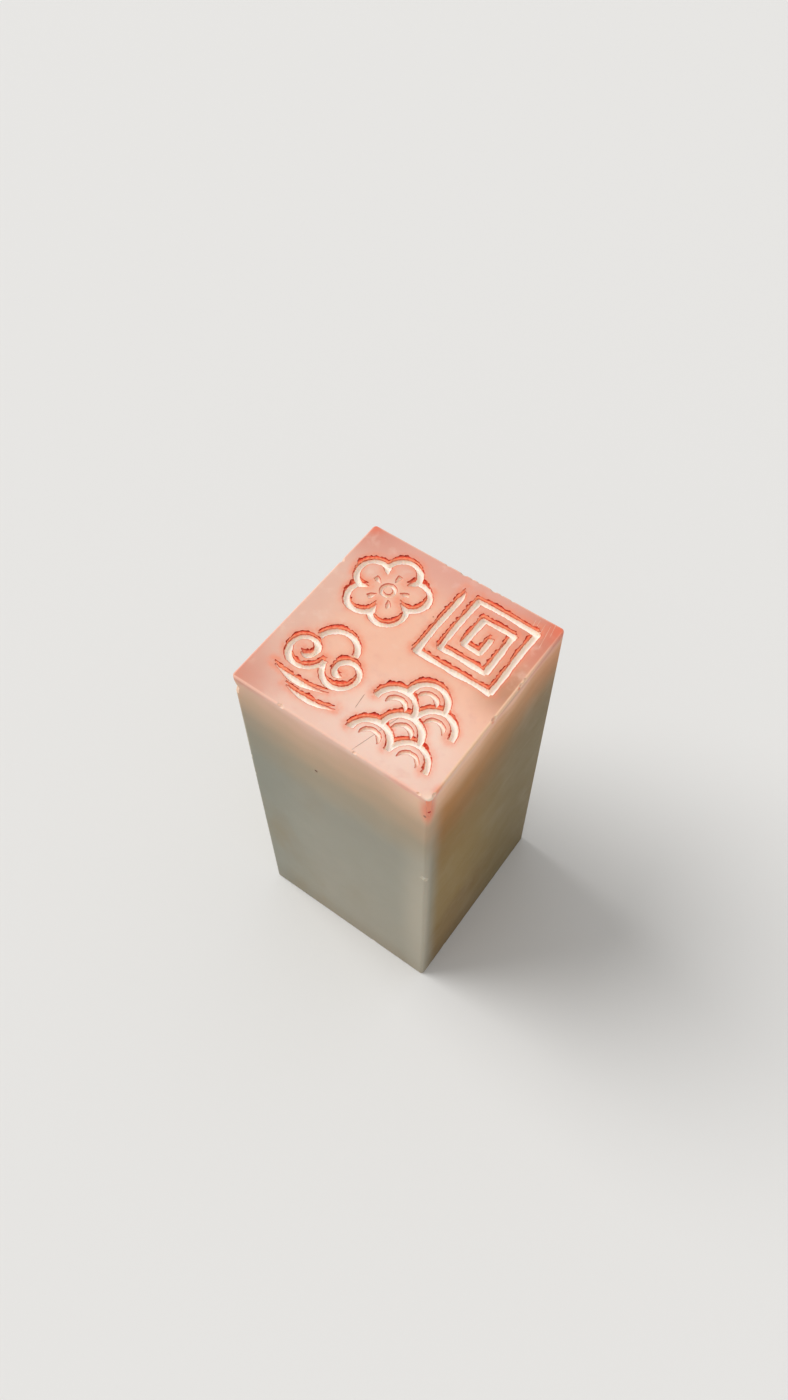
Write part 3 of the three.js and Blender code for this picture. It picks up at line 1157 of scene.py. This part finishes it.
class StoneShader(Shader):
    """A new material of the stone, with the colours that the stone has at each place."""

    def __init__(self, name: str, colours: StoneColours) -> None:
        """Starts a material of that name."""
        super().__init__(bpy.data.materials.new(name))
        self.colours = colours

    @cached_property
    def mottle(self) -> Wire:
        """The stone's own fine noise."""
        return self.noise(self.colours.mottle)

    @cached_property
    def measures(self) -> tuple[Wire, ...]:
        """What the spans of a mask go along: X, Y, Z, the distance from the middle line, and the mottle."""
        x, y, z = self.axes
        return x, y, z, abs(x).larger(abs(y)), self.mottle

    def patch(self, at: Place, size: Place, core: float = 0.1) -> Wire:
        """A soft patch inside the stone.

        Args:
            at: its middle.
            size: its reach along X, Y and Z.
            core: the share of its reach in which it is full.

        Returns:
            1 in its middle, down to 0 at its reach.
        """
        offset = tuple(-middle / reach for middle, reach in zip(at, size))
        inner = self.mapped(tuple(1 / reach for reach in size), move=offset)
        return self.node("ShaderNodeVectorMath", {"operation": "LENGTH"}, {0: inner}, "Value").rise(1.0, core)

    def layered(self, colour: "Wire | Colour", layers: Layers) -> Wire:
        """Lays tints over a colour, one after the other.

        Args:
            colour: what they are laid over.
            layers: the tints and their masks.

        Returns:
            The colour.
        """
        for tint, mask in layers:
            colour = self.mix(mask.on(self), colour, tint)
        return colour

    def stone(self) -> Wire:
        """The colour of the stone: of its sides, from foot to face, of the face, and then of the edges.

        Returns:
            The colour.
        """
        colours = self.colours
        level = (self.axes[2] + (self.noise(colours.drift) - 0.5) * colours.drift_reach) / colours.height
        celadon, olive = (self.ramp(level, stops) for stops in (colours.celadon, colours.olive))
        sides = self.layered(self.mix(colours.olive_side.on(self), celadon, olive), colours.on_sides)
        face = self.layered(colours.face, colours.on_face)
        return self.layered(self.mix(colours.at_face.on(self), sides, face), colours.on_edges)


@dataclass(frozen=True)
class StoneFinish:
    """The sanded and waxed skin of the stone, and the surfaces that the knife opened."""

    colours: StoneColours
    body: Body = Body(0.22, (1.0, 0.55, 0.38), 1.2, 1.54, 0.15)
    stain: Colour = srgb(246, 144, 110)
    deep_stain: Colour = srgb(206, 56, 32)
    wiped: Mask = Mask(0.8, clouds=Clouds(1.1, seed=5.0), dense=(0.15, 0.75))
    sanding_ways: tuple[Span, ...] = ((11.0, 0.35), (12.0, -0.6), (13.0, 1.3))
    sanding_scale: Place = (14.0, 0.35, 14.0)
    sanding_rough: float = 0.12
    sanding_height: float = 0.3
    grain_height: float = 0.12
    smears: Clouds = Clouds(4.0, seed=8.0)
    smear_rough: float = 0.16
    waxed_rough: float = 0.34
    skin_relief: Relief = Relief(Clouds(0.35, seed=7.0), 0.012, 0.6)
    fresh: Colour = srgb(255, 243, 231)
    wall: Tint = ((0.45, 0.25), 1.0, srgb(255, 228, 208))
    flesh: Tint = ((0.27, 0.12), 0.8, srgb(250, 182, 154))
    rim: Tint = ((0.12, 0.04), 0.85, deep_stain)
    spots: Tint = ((0.66, 0.8), 0.35, stain)
    spotting: Clouds = Clouds(0.5, seed=4.0)
    fraying: Clouds = Clouds(0.22, 2.0, seed=3.0)
    frayed_depth: float = 0.12
    cut_rough: float = 0.62
    cut_relief: Relief = Relief(Clouds(0.16, seed=9.0), 0.03)
    soaking: Clouds = Clouds(0.4, roughness=0.65, seed=3.5)
    soaked: Span = (0.3, 0.66)
    flake_relief: Relief = Relief(Clouds(0.15, seed=6.5), 0.05, 0.8)
    broken_rough: float = 0.6
    chip: Colour = srgb(250, 218, 194)
    pale_chip: Colour = srgb(228, 220, 200)
    paler: Mask = Mask(z=(46.0, 38.0))
    opening: Clouds = Clouds(0.3, 2.0, 0.5, 2.5)
    opened_shares: Span = (0.3, 0.5)
    chip_relief: Relief = Relief(Clouds(0.12, 2.0, seed=1.5), 0.03)
    dirt: Colour = srgb(150, 118, 104)
    dirt_share: float = 0.5

    def _finished(self, shader: Shader, colour: Wire, rough: "Wire | float", **more: Wire) -> bpy.types.Material:
        """Finishes a material of the stone with its colour, its roughness and, where it has one, its Normal."""
        return shader.finished({"Base Color": colour, "Roughness": rough, **more, **self.body.sockets()})

    def skin(self) -> bpy.types.Material:
        """The sanded sides and the face, with the wiped stain round the cuts.

        Returns:
            The material.
        """
        shader = StoneShader("sanded_stone", self.colours)
        wiped = shader.attribute("wiped") * self.wiped.on(shader)
        first, second, third = (
            shader.noise(Clouds(1.0, 1.0, 0.5, seed, self.sanding_scale, turn)) for seed, turn in self.sanding_ways
        )
        sanded = first + second + third
        uneven = (sanded - len(self.sanding_ways) / 2) * self.sanding_rough
        roughness = self.waxed_rough + shader.noise(self.smears) * self.smear_rough + uneven
        height = sanded * self.sanding_height + shader.noise(self.skin_relief.clouds) * self.grain_height
        bumps = shader.bump(self.skin_relief, height)
        return self._finished(shader, shader.mix(wiped, shader.stone(), self.stain), roughness, Normal=bumps)

    def cut(self) -> bpy.types.Material:
        """The knife cuts: cream on their floors, flesh-coloured up their walls and stained at their rims.

        Returns:
            The material.
        """
        shader = StoneShader("knife_cut", self.colours)
        below = self.colours.height - shader.axes[2]
        frayed = below + (shader.noise(self.fraying) - 0.5) * self.frayed_depth
        spotted = shader.noise(self.spotting)
        bands = ((below, self.wall), (frayed, self.flesh), (frayed, self.rim), (spotted, self.spots))
        bumps = shader.bump(self.cut_relief)
        return self._finished(shader, shader.banded(self.fresh, *bands), self.cut_rough, Normal=bumps)

    def flake(self) -> bpy.types.Material:
        """The flaked shoulders: rough stone soaked with paste.

        Returns:
            The material.
        """
        shader = StoneShader("flaked_shoulder", self.colours)
        colour = shader.mix(shader.noise(self.soaking).rise(*self.soaked), self.stain, self.deep_stain)
        return self._finished(shader, colour, self.broken_rough, Normal=shader.bump(self.flake_relief))

    def broken(self) -> bpy.types.Material:
        """The chips: pale, unpolished stone.

        Returns:
            The material.
        """
        shader = StoneShader("chipped_stone", self.colours)
        fresh = shader.mix(self.paler.on(shader), self.chip, self.pale_chip)
        same, uneven = self.opened_shares
        colour = shader.mix(same + shader.noise(self.opening) * uneven, shader.stone(), fresh)
        return self._finished(shader, colour, self.broken_rough, Normal=shader.bump(self.chip_relief))

    def scratched(self) -> bpy.types.Material:
        """The long scratches: a fine line of greyer stone."""
        shader = StoneShader("scratched_stone", self.colours)
        return self._finished(shader, shader.mix(self.dirt_share, shader.stone(), self.dirt), self.broken_rough)

    def slots(self) -> list[bpy.types.Material]:
        """The materials of the carved stone, in the order of its slots."""
        return [self.skin(), self.cut(), self.flake(), self.broken(), self.scratched()]


@dataclass(frozen=True)
class PasteFinish:
    """Dried seal paste: salmon where it is thin, dark red where it piled up along the outer edge, with beads."""

    body: Body = Body(0.15, (1.0, 0.3, 0.2), 0.4, 1.5)
    watery: Colour = srgb(255, 150, 114)
    tints: tuple[Tint, ...] = (
        ((-0.6, 0.0), 1.0, srgb(253, 142, 100)),
        ((0.1, 0.6), 1.0, srgb(248, 92, 52)),
        ((0.72, 1.0), 1.0, srgb(196, 44, 26)),
    )
    heaps: Clouds = Clouds(0.4, roughness=0.65, seed=1.0)
    heap_play: float = 1.2
    relief: Relief = Relief(Clouds(0.12, 2.0, 0.5, 2.0), 0.04)
    smooth_rough: float = 0.42
    grain_rough: float = 0.25

    def material(self) -> bpy.types.Material:
        """The paste's material.

        Returns:
            The material.
        """
        shader = Shader(bpy.data.materials.new("dried_paste"))
        grain = shader.noise(self.relief.clouds)
        heaped = shader.attribute("piled") + (shader.noise(self.heaps) - 0.5) * self.heap_play
        colour = shader.banded(self.watery, *((heaped, tint) for tint in self.tints))
        values = {"Base Color": colour, "Roughness": self.smooth_rough + grain * self.grain_rough}
        return shader.finished({**values, "Normal": shader.bump(self.relief, grain), **self.body.sockets()})


# The pieces


@dataclass(frozen=True)
class Damage:
    """What knocks and use did to the stone, in millimetres.

    A chip on an upright arris is given by its side in X and Y and its share of the height. One on the arris of
    an end is given by the side that it is on, how far along it is from -1 to 1, and 1 for the face or -1 for the
    foot. A knock has a place, the way that it faces, a size and a depth.
    """

    shard_divisions: int = 4
    shard_lumps: tuple[Span, ...] = ((0.5, 0.36), (0.15, 0.09))
    chip_size: float = 0.55
    chip_depth: float = 0.16
    upright_chips: tuple[Place, ...] = ((-1, -1, 0.59), (1, -1, 0.62), (-1, 1, 0.4))
    end_chips: tuple[tuple[int, int, float, int], ...] = (
        (0, 1, -0.03, 1),
        (0, 1, 0.28, 1),
        (1, 0, -0.09, 1),
        (0, -1, -0.48, 1),
        (-1, 0, 0.5, 1),
        (0, -1, 0.35, -1),
        (1, 0, -0.6, -1),
    )
    knocks: tuple[tuple[Place, Place, float, float], ...] = (
        ((11.75, -12.25, 31.2), (0.2, -1, 0.1), 0.7, 0.16),
        ((-12.12, -12.12, 33.6), (-1, -1, 0), 0.45, 0.17),
        ((-12.15, -12.15, 30.6), (-1, -1, 0), 0.3, 0.1),
    )
    corner_chip: Place = (-1, -1, 0.962)
    corner_chip_size: float = 1.5
    corner_chip_depth: float = 0.42
    nicks: tuple[tuple[int, int, float, int], ...] = (
        (0, -1, 0.27, 1),
        (0, -1, 0.89, 1),
        (1, 0, -0.93, 1),
        *((0, 1, across, 1) for across in (-0.2, 0.06, 0.13, 0.36, 0.47)),
        *((1, 0, across, 1) for across in (0.31, 0.38)),
    )
    nick_shares: Span = (0.4, 0.7)
    nick_seed: int = 11
    pit: Place = (-2.1, -12.25, 40.6)
    pit_size: float = 0.17
    run_length: float = 3.1
    run_top_radius: float = 0.56
    run_foot_radius: float = 0.34
    run_below_face: float = 0.3
    run_sunk: float = 0.09
    run_lump: float = 0.35
    run_roughness: float = 0.14
    run_sides: int = 32
    run_cuts: int = 14
    scratch_width: float = 0.09
    scratch_depth: float = 0.035
    scratch_overcut: float = 0.02
    scratch_widths: tuple[Span, ...] = ((0, 0.15), (0.1, 0.8), (0.35, 1), (0.6, 0.7), (0.85, 0.9), (1, 0.15))
    long_scratches: tuple[tuple[float, float, float, float], ...] = ((5.0, -4.7, 2.9, -12.1), (0.1, -6.2, 0.3, -8.1))
    streaks: tuple[float, ...] = (9.1, 9.5, 9.75, 10.2, 10.75, 11.1)
    streak_starts: Span = (11.2, 12.3)
    streak_lengths: Span = (1.8, 3.6)
    streak_leans: Span = (0.1, 0.2)
    streak_shares: Span = (0.6, 0.95)
    streak_seed: int = 7


DAMAGE = Damage()


@dataclass
class CarvedStone:
    """The stone: a sanded bar, its cuts, flakes, chips and scratches."""

    side: float
    height: float
    finish: StoneFinish
    face: Face
    upright_arris: float = 0.45
    upright_facets: int = 8
    end_arris: float = 0.2
    end_facets: int = 4
    level: float = 0.99
    paint_pitch: float = 0.28
    wiped_reach: float = 0.46
    wiped_shift: float = 0.6
    wiped_depth: float = 0.02
    bar: bpy.types.Object = field(init=False)

    @cached_property
    def materials(self) -> list[bpy.types.Material]:
        """The stone's materials, in the order of its slots."""
        return self.finish.slots()

    def blank(self) -> None:
        """Makes the bar before it is carved, with its arrises sanded."""
        self.bar = added("seal_stone", bpy.ops.mesh.primitive_cube_add, size=1, location=(0, 0, 0.5))
        settle(self.bar, (self.side, self.side, self.height))

        def upright(edge: bpy.types.MeshEdge) -> bool:
            """Whether an edge stands up, and doesn't lie in the face or in the foot."""
            low, high = sorted(self.bar.data.vertices[i].co.z for i in edge.vertices)
            return high - low > self.height / 2

        def lying(edge: bpy.types.MeshEdge) -> bool:
            """Whether an edge lies in the face or in the foot."""
            return not upright(edge)

        sizes = ((self.upright_arris, self.upright_facets), (self.end_arris, self.end_facets))
        for wanted, (offset, facets) in zip((upright, lying), sizes):
            select(self.bar, "EDGE", wanted)
            with editing():
                bpy.ops.mesh.bevel(offset=offset, segments=facets, affect="EDGES")
        for material in self.materials:
            self.bar.data.materials.append(material)

    def grid(self) -> None:
        """Divides the face into a fine grid, so that it can hold what is wiped over it."""
        take(self.bar)
        half = self.side / 2 - self.end_arris
        lines = int(2 * half / self.paint_pitch)
        for axis in (Vector((1, 0, 0)), Vector((0, 1, 0))):
            for i in range(1, lines):
                place = axis * (i * 2 * half / lines - half) + UP * self.height
                select(self.bar, "FACE", lambda face: face.normal.z > self.level)
                with editing():
                    bpy.ops.mesh.bisect(plane_co=place, plane_no=axis)

    def cut(self, cutter: bpy.types.Object, finish: Finish) -> None:
        """Takes a solid out of the bar, which uses it up, and gives the cut its finish.

        Args:
            cutter: the solid.
            finish: the finish of the cut.
        """
        cutter.data.materials.append(self.materials[finish])
        settings = {"operation": "DIFFERENCE", "solver": "MANIFOLD", "material_mode": "TRANSFER"}
        finish_modifier(self.bar, "BOOLEAN", object=cutter, **settings)
        bpy.data.objects.remove(cutter)

    def carve(self) -> None:
        """Takes the shoulders and then the cuts of every ornament out of the bar."""
        number = 0
        for name, strokes in self.face.ornaments().items():
            for blade, finish in ((FLAKE, Finish.FLAKE), (KNIFE, Finish.CUT)):
                for stroke in strokes:
                    number += 1
                    if stroke.flaked or finish is Finish.CUT:
                        self.cut(blade.cutter(stroke, number, self.height), finish)
            LOG.info("carved the %s: %d strokes, %d faces", name, len(strokes), len(self.bar.data.polygons))

    def on_upright(self, side_x: float, side_y: float, share: float) -> Spot:
        """A spot on an upright arris, at a share of the height, and the way that it faces."""
        out = self.side / 2 - self.upright_arris * (1 - math.sqrt(0.5))
        return Vector((side_x * out, side_y * out, share * self.height)), Vector((side_x, side_y, 0)).normalized()

    def on_end(self, out_x: int, out_y: int, across: float, end: int) -> Spot:
        """A spot on the arris round an end, and the way that it faces.

        Args:
            out_x: 1 on the right side, -1 on the left one, or 0.
            out_y: 1 on the back, -1 on the front, or 0.
            across: how far along that side it is, from -1 to 1.
            end: 1 for the face, -1 for the foot.

        Returns:
            The place and the direction.
        """
        out, along = self.side / 2 - self.end_arris / 2, across * self.side / 2
        z = self.height - self.end_arris / 2 if end > 0 else self.end_arris / 2
        return Vector((out_x * out or along, out_y * out or along, z)), Vector((out_x, out_y, end)).normalized()

    def chip(self, spot: Spot, size: float, depth: float, finish: Finish = Finish.CHIP) -> None:
        """Knocks a shard out of the bar.

        Args:
            spot: a place on its surface, and the way that it faces.
            size: the radius of the rough ball that is taken out.
            depth: how far that reaches behind the spot.
            finish: the finish of the chip.
        """
        place, outward = spot
        middle = place + outward * (size - depth)
        ball = {"subdivisions": DAMAGE.shard_divisions, "radius": size, "location": middle}
        shard = added("shard", bpy.ops.mesh.primitive_ico_sphere_add, **ball)
        for lump, reach in DAMAGE.shard_lumps:
            roughen(shard, size * lump, size * reach)
        self.cut(shard, finish)

    def knock(self) -> None:
        """Chips the arrises where a hand seal gets knocked."""
        spots = [self.on_upright(*at) for at in DAMAGE.upright_chips] + [self.on_end(*at) for at in DAMAGE.end_chips]
        chips = [(spot, DAMAGE.chip_size, DAMAGE.chip_depth) for spot in spots]
        for place, outward, *sizes in DAMAGE.knocks:
            chips.append(((Vector(place), Vector(outward).normalized()), *sizes))
        chips.append((self.on_upright(*DAMAGE.corner_chip), DAMAGE.corner_chip_size, DAMAGE.corner_chip_depth))
        chance = random.Random(DAMAGE.nick_seed)
        for at in DAMAGE.nicks:
            share = chance.uniform(*DAMAGE.nick_shares)
            chips.append((self.on_end(*at), DAMAGE.chip_size * share, DAMAGE.chip_depth * share))
        for chip in chips:
            self.chip(*chip)
        pit = (Vector(DAMAGE.pit), Vector((0, -1, 0)))
        self.chip(pit, DAMAGE.pit_size, DAMAGE.pit_size, Finish.SCRATCH)
        LOG.info("chips and nicks: %d, and a pit", len(chips))

    def corner_channel(self) -> None:
        """Breaks out the long chip down the near corner, which the paste ran down."""
        middle = self.height - DAMAGE.run_below_face - DAMAGE.run_length / 2
        channel = added(
            "channel",
            bpy.ops.mesh.primitive_cone_add,
            vertices=DAMAGE.run_sides,
            radius1=DAMAGE.run_foot_radius - DAMAGE.run_sunk,
            radius2=DAMAGE.run_top_radius - DAMAGE.run_sunk,
            depth=DAMAGE.run_length,
            location=(self.side / 2, -self.side / 2, middle),
        )
        with editing():
            bpy.ops.mesh.select_all(action="SELECT")
            bpy.ops.mesh.subdivide(number_cuts=DAMAGE.run_cuts)
        roughen(channel, DAMAGE.run_lump, DAMAGE.run_roughness)
        self.cut(channel, Finish.CHIP)

    def scratch(self, ends: Sequence[float], share: float, finish: Finish) -> None:
        """Scratches the face.

        Args:
            ends: the X and Y that it starts at, and those that it ends at.
            share: its size, as a share of a long scratch.
            finish: the finish of its bottom.
        """
        above = DAMAGE.scratch_overcut
        flare = DAMAGE.scratch_width / 2 * (1 + above / DAMAGE.scratch_depth)
        section = [(0, -DAMAGE.scratch_depth), (flare, above), (-flare, above)]
        start, end = flat(*ends[:2]) + UP * self.height, flat(*ends[2:]) + UP * self.height
        places = [start.lerp(end, t) for t, _ in DAMAGE.scratch_widths]
        scales = [(width * share, share) for _, width in DAMAGE.scratch_widths]
        self.cut(swept("scratch", section, places, scales), finish)

    def scratches(self) -> None:
        """Scratches the face: two long ones, and a rub of fine streaks beside the far right corner."""
        for ends in DAMAGE.long_scratches:
            self.scratch(ends, 1.0, Finish.SCRATCH)
        chance = random.Random(DAMAGE.streak_seed)
        for x in DAMAGE.streaks:
            start, length = chance.uniform(*DAMAGE.streak_starts), chance.uniform(*DAMAGE.streak_lengths)
            lean = chance.uniform(*DAMAGE.streak_leans)
            ends = (x, start, x + lean * length, start - length)
            self.scratch(ends, chance.uniform(*DAMAGE.streak_shares), Finish.CHIP)

    def wipe(self) -> None:
        """Writes how much paste was wiped over each corner of the mesh near a cut."""
        tree = self.face.along_strokes(flat(*FLAKE.shift) * self.wiped_shift)
        values = []
        for corner in self.bar.data.vertices:
            beyond = max(0.0, tree.find(flat(corner.co.x, corner.co.y))[2] - KNIFE.width / 2)
            on_face = corner.co.z > self.height - self.wiped_depth
            values.append(math.exp(-((beyond / self.wiped_reach) ** 2)) if on_face else 0.0)
        self.bar.data.attributes.new("wiped", "FLOAT", "POINT").data.foreach_set("value", values)

    def build(self) -> bpy.types.Object:
        """Builds the stone and puts it in the frame.

        Returns:
            The stone.
        """
        self.blank()
        self.grid()
        self.scratches()
        self.carve()
        self.knock()
        self.corner_channel()
        drop_specks(self.bar)
        self.wipe()
        to_metres(self.bar)
        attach(self.bar, "root")
        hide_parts("carved_stone")
        return self.bar


@dataclass
class PasteDeposits:
    """The dried paste: one crust in the place of each solid that the frame holds for it."""

    finish: PasteFinish
    face: Face
    height: float
    grain: float = 0.045
    run_lumps: Place = (0.3, 0.024, 1.0)
    lumps: tuple[Place, ...] = ((0.28, 0.12, 0.42), (0.11, 0.048, 0.5))
    piled_reach: float = 0.36
    run_piled: float = -0.8
    weld: float = 1e-3
    smoothing: tuple[float, int] = (0.5, 2)
    bead_level: float = 0.5
    bead_divisions: int = 2
    bead_pitch: float = 1.1
    bead_size: Span = (0.04, 0.08)
    bead_beyond: float = 0.28
    corner_bead: tuple[float, float, float, float] = (12.05, -12.0, 47.35, 0.2)

    @cached_property
    def material(self) -> bpy.types.Material:
        """The paste's material."""
        return self.finish.material()

    @cached_property
    def strokes(self) -> kdtree.KDTree:
        """What finds how near a stroke is."""
        return self.face.along_strokes(Vector())

    def bead(self, seat: Sequence[float], size: float) -> bpy.types.Object:
        """A little ball of paste."""
        ball = {"subdivisions": self.bead_divisions, "radius": size, "location": seat}
        return added("bead", bpy.ops.mesh.primitive_ico_sphere_add, **ball)

    def copy(self, node: str) -> bpy.types.Object:
        """A copy of a node of the frame, in millimetres, with its faces joined up.

        Args:
            node: the node's name.

        Returns:
            The copy.
        """
        take(frame["nodes"][node])
        bpy.ops.object.duplicate()
        bpy.ops.object.parent_clear(type="CLEAR_KEEP_TRANSFORM")
        piece = bpy.context.object
        piece.name = piece.data.name = node.replace("paste_", "crust_")
        settle(piece, (1 / MM, 1 / MM, 1 / MM))
        with editing():
            bpy.ops.mesh.select_all(action="SELECT")
            bpy.ops.mesh.remove_doubles(threshold=self.weld)
        return piece

    def beyond(self, place: Vector) -> float:
        """How far a place is from the edge of the nearest cut."""
        return self.strokes.find(flat(place.x, place.y))[2] - KNIFE.width / 2

    def beads(self, piece: bpy.types.Object, chance: random.Random) -> list[bpy.types.Object]:
        """Little balls of paste along the outer edge of a crust.

        Args:
            piece: the crust.
            chance: the run of random numbers.

        Returns:
            The balls.
        """
        corners = [c.co.copy() for c in piece.data.vertices if c.normal.z > self.bead_level]
        outer = [c for c in corners if self.beyond(c) > self.bead_beyond]
        balls: list[bpy.types.Object] = []
        placed: list[Vector] = []
        for corner in chance.sample(outer, len(outer)):
            if all((corner - other).length > self.bead_pitch for other in placed):
                placed.append(corner)
                size = chance.uniform(*self.bead_size)
                seat = flat(corner.x, corner.y) + UP * min(corner.z, self.height - size)
                balls.append(self.bead(seat, size))
        return balls

    def crust(self, node: str) -> bpy.types.Object:
        """Makes a crust from a copy of a node.

        Args:
            node: the frame's node.

        Returns:
            The crust, which stands for the node.
        """
        piece = self.copy(node)
        finish_modifier(piece, "REMESH", mode="VOXEL", voxel_size=self.grain)
        drop_specks(piece)
        on_corner = node == "paste_run_on_corner"
        if on_corner:
            roughen(piece, *self.run_lumps)
            *seat, size = self.corner_bead
            balls = [self.bead(seat, size)]
        else:
            factor, rounds = self.smoothing
            finish_modifier(piece, "SMOOTH", factor=factor, iterations=rounds)
            for lumps in self.lumps:
                roughen(piece, *lumps)
            balls = self.beads(piece, random.Random(node))
        piled = [
            self.run_piled if on_corner else min(1.0, max(0.0, self.beyond(corner.co) / self.piled_reach))
            for corner in piece.data.vertices
        ]
        take(piece)
        for bead in balls:
            bead.select_set(True)
        bpy.ops.object.join()
        piled += [1.0] * (len(piece.data.vertices) - len(piled))
        piece.data.attributes.new("piled", "FLOAT", "POINT").data.foreach_set("value", piled)
        piece.data.materials.clear()
        piece.data.materials.append(self.material)
        take(piece)
        bpy.ops.object.shade_smooth()
        to_metres(piece)
        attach(piece, "root")
        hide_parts(node)
        return piece

    def build(self) -> list[bpy.types.Object]:
        """Builds every crust.

        Returns:
            The crusts.
        """
        crusts = [self.crust(node) for node in sorted(frame["nodes"]) if node.startswith("paste_")]
        LOG.info("crusts: %d, with %d faces", len(crusts), sum(len(c.data.polygons) for c in crusts))
        return crusts


# The studio


@dataclass(frozen=True)
class Studio:
    """The floor, the lamps and the camera."""

    camera_place: Place = (38.365, -52.804, 144.563)
    camera_forward: Place = (-0.31759, 0.42729, -0.84650)
    camera_up: Place = (-0.49413, 0.68735, 0.53234)
    focal_length: float = 28.895
    sensor_width: float = 36.0
    clip_start: float = 0.001
    clip_end: float = 10.0
    sun_place: Place = (0.0, 0.0, 0.3)
    sun_towards: Place = (0.74, 0.22, -0.95)
    sun_strength: float = 1.9
    sun_angle: float = 38.0
    sky_strength: float = 0.52
    backdrop_strength: float = 0.78
    floor_size: float = 3.0
    floor_below: float = 0.02
    floor_colour: Colour = (0.80, 0.79, 0.77)
    floor_rough: float = 0.9

    def floor(self) -> None:
        """A plain pale floor."""
        below = (0, 0, -self.floor_below * MM)
        floor = added("floor", bpy.ops.mesh.primitive_plane_add, size=self.floor_size, location=below)
        shader = Shader(bpy.data.materials.new("pale_floor"))
        floor.data.materials.append(shader.finished({"Base Color": self.floor_colour, "Roughness": self.floor_rough}))

    def lamps(self) -> None:
        """One broad soft sun from the left, and an even sky."""
        bpy.ops.object.light_add(type="SUN", location=self.sun_place)
        sun = bpy.context.object
        sun.rotation_euler = Vector(self.sun_towards).to_track_quat("-Z", "Y").to_euler()
        sun.data.energy = self.sun_strength
        sun.data.angle = math.radians(self.sun_angle)
        world = bpy.data.worlds.new("studio")
        bpy.context.scene.world = world
        sky = Shader(world, "Background")
        seen = sky.node("ShaderNodeLightPath", {}, {}, "Is Camera Ray")
        for kind in ("Is Glossy Ray", "Is Transmission Ray"):
            seen = seen.larger(Wire(sky, sky.nodes["Light Path"].outputs[kind]))
        strength = self.sky_strength + seen * (self.backdrop_strength - self.sky_strength)
        sky.finished({"Color": (1.0, 1.0, 1.0), "Strength": strength})

    def camera(self) -> None:
        """The camera at the photograph's view."""
        bpy.ops.object.camera_add()
        camera = bpy.context.object
        forward, up = Vector(self.camera_forward), Vector(self.camera_up)
        turn = Matrix((forward.cross(up), up, -forward)).transposed()
        camera.matrix_world = Matrix.Translation(Vector(self.camera_place) * MM) @ turn.to_4x4()
        camera.data.lens = self.focal_length
        camera.data.sensor_width = self.sensor_width
        camera.data.sensor_fit = "AUTO"
        camera.data.clip_start = self.clip_start
        camera.data.clip_end = self.clip_end
        bpy.context.scene.camera = camera

    def build(self) -> None:
        """Builds the studio."""
        deselect()
        self.camera()
        self.floor()
        self.lamps()
        bpy.context.scene.view_settings.view_transform = "Standard"


def main() -> None:
    """Builds the seal and its studio."""
    logging.basicConfig(level=logging.INFO, format="%(name)s: %(message)s")
    Studio().build()
    low, high = (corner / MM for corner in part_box("carved_stone"))
    side, height = high.x - low.x, high.z
    stone = CarvedStone(side, height, StoneFinish(StoneColours(height)), Face(side)).build()
    LOG.info("stone: %d faces", len(stone.data.polygons))
    PasteDeposits(PasteFinish(), Face(side), height).build()


if __name__ == "__main__":
    main()
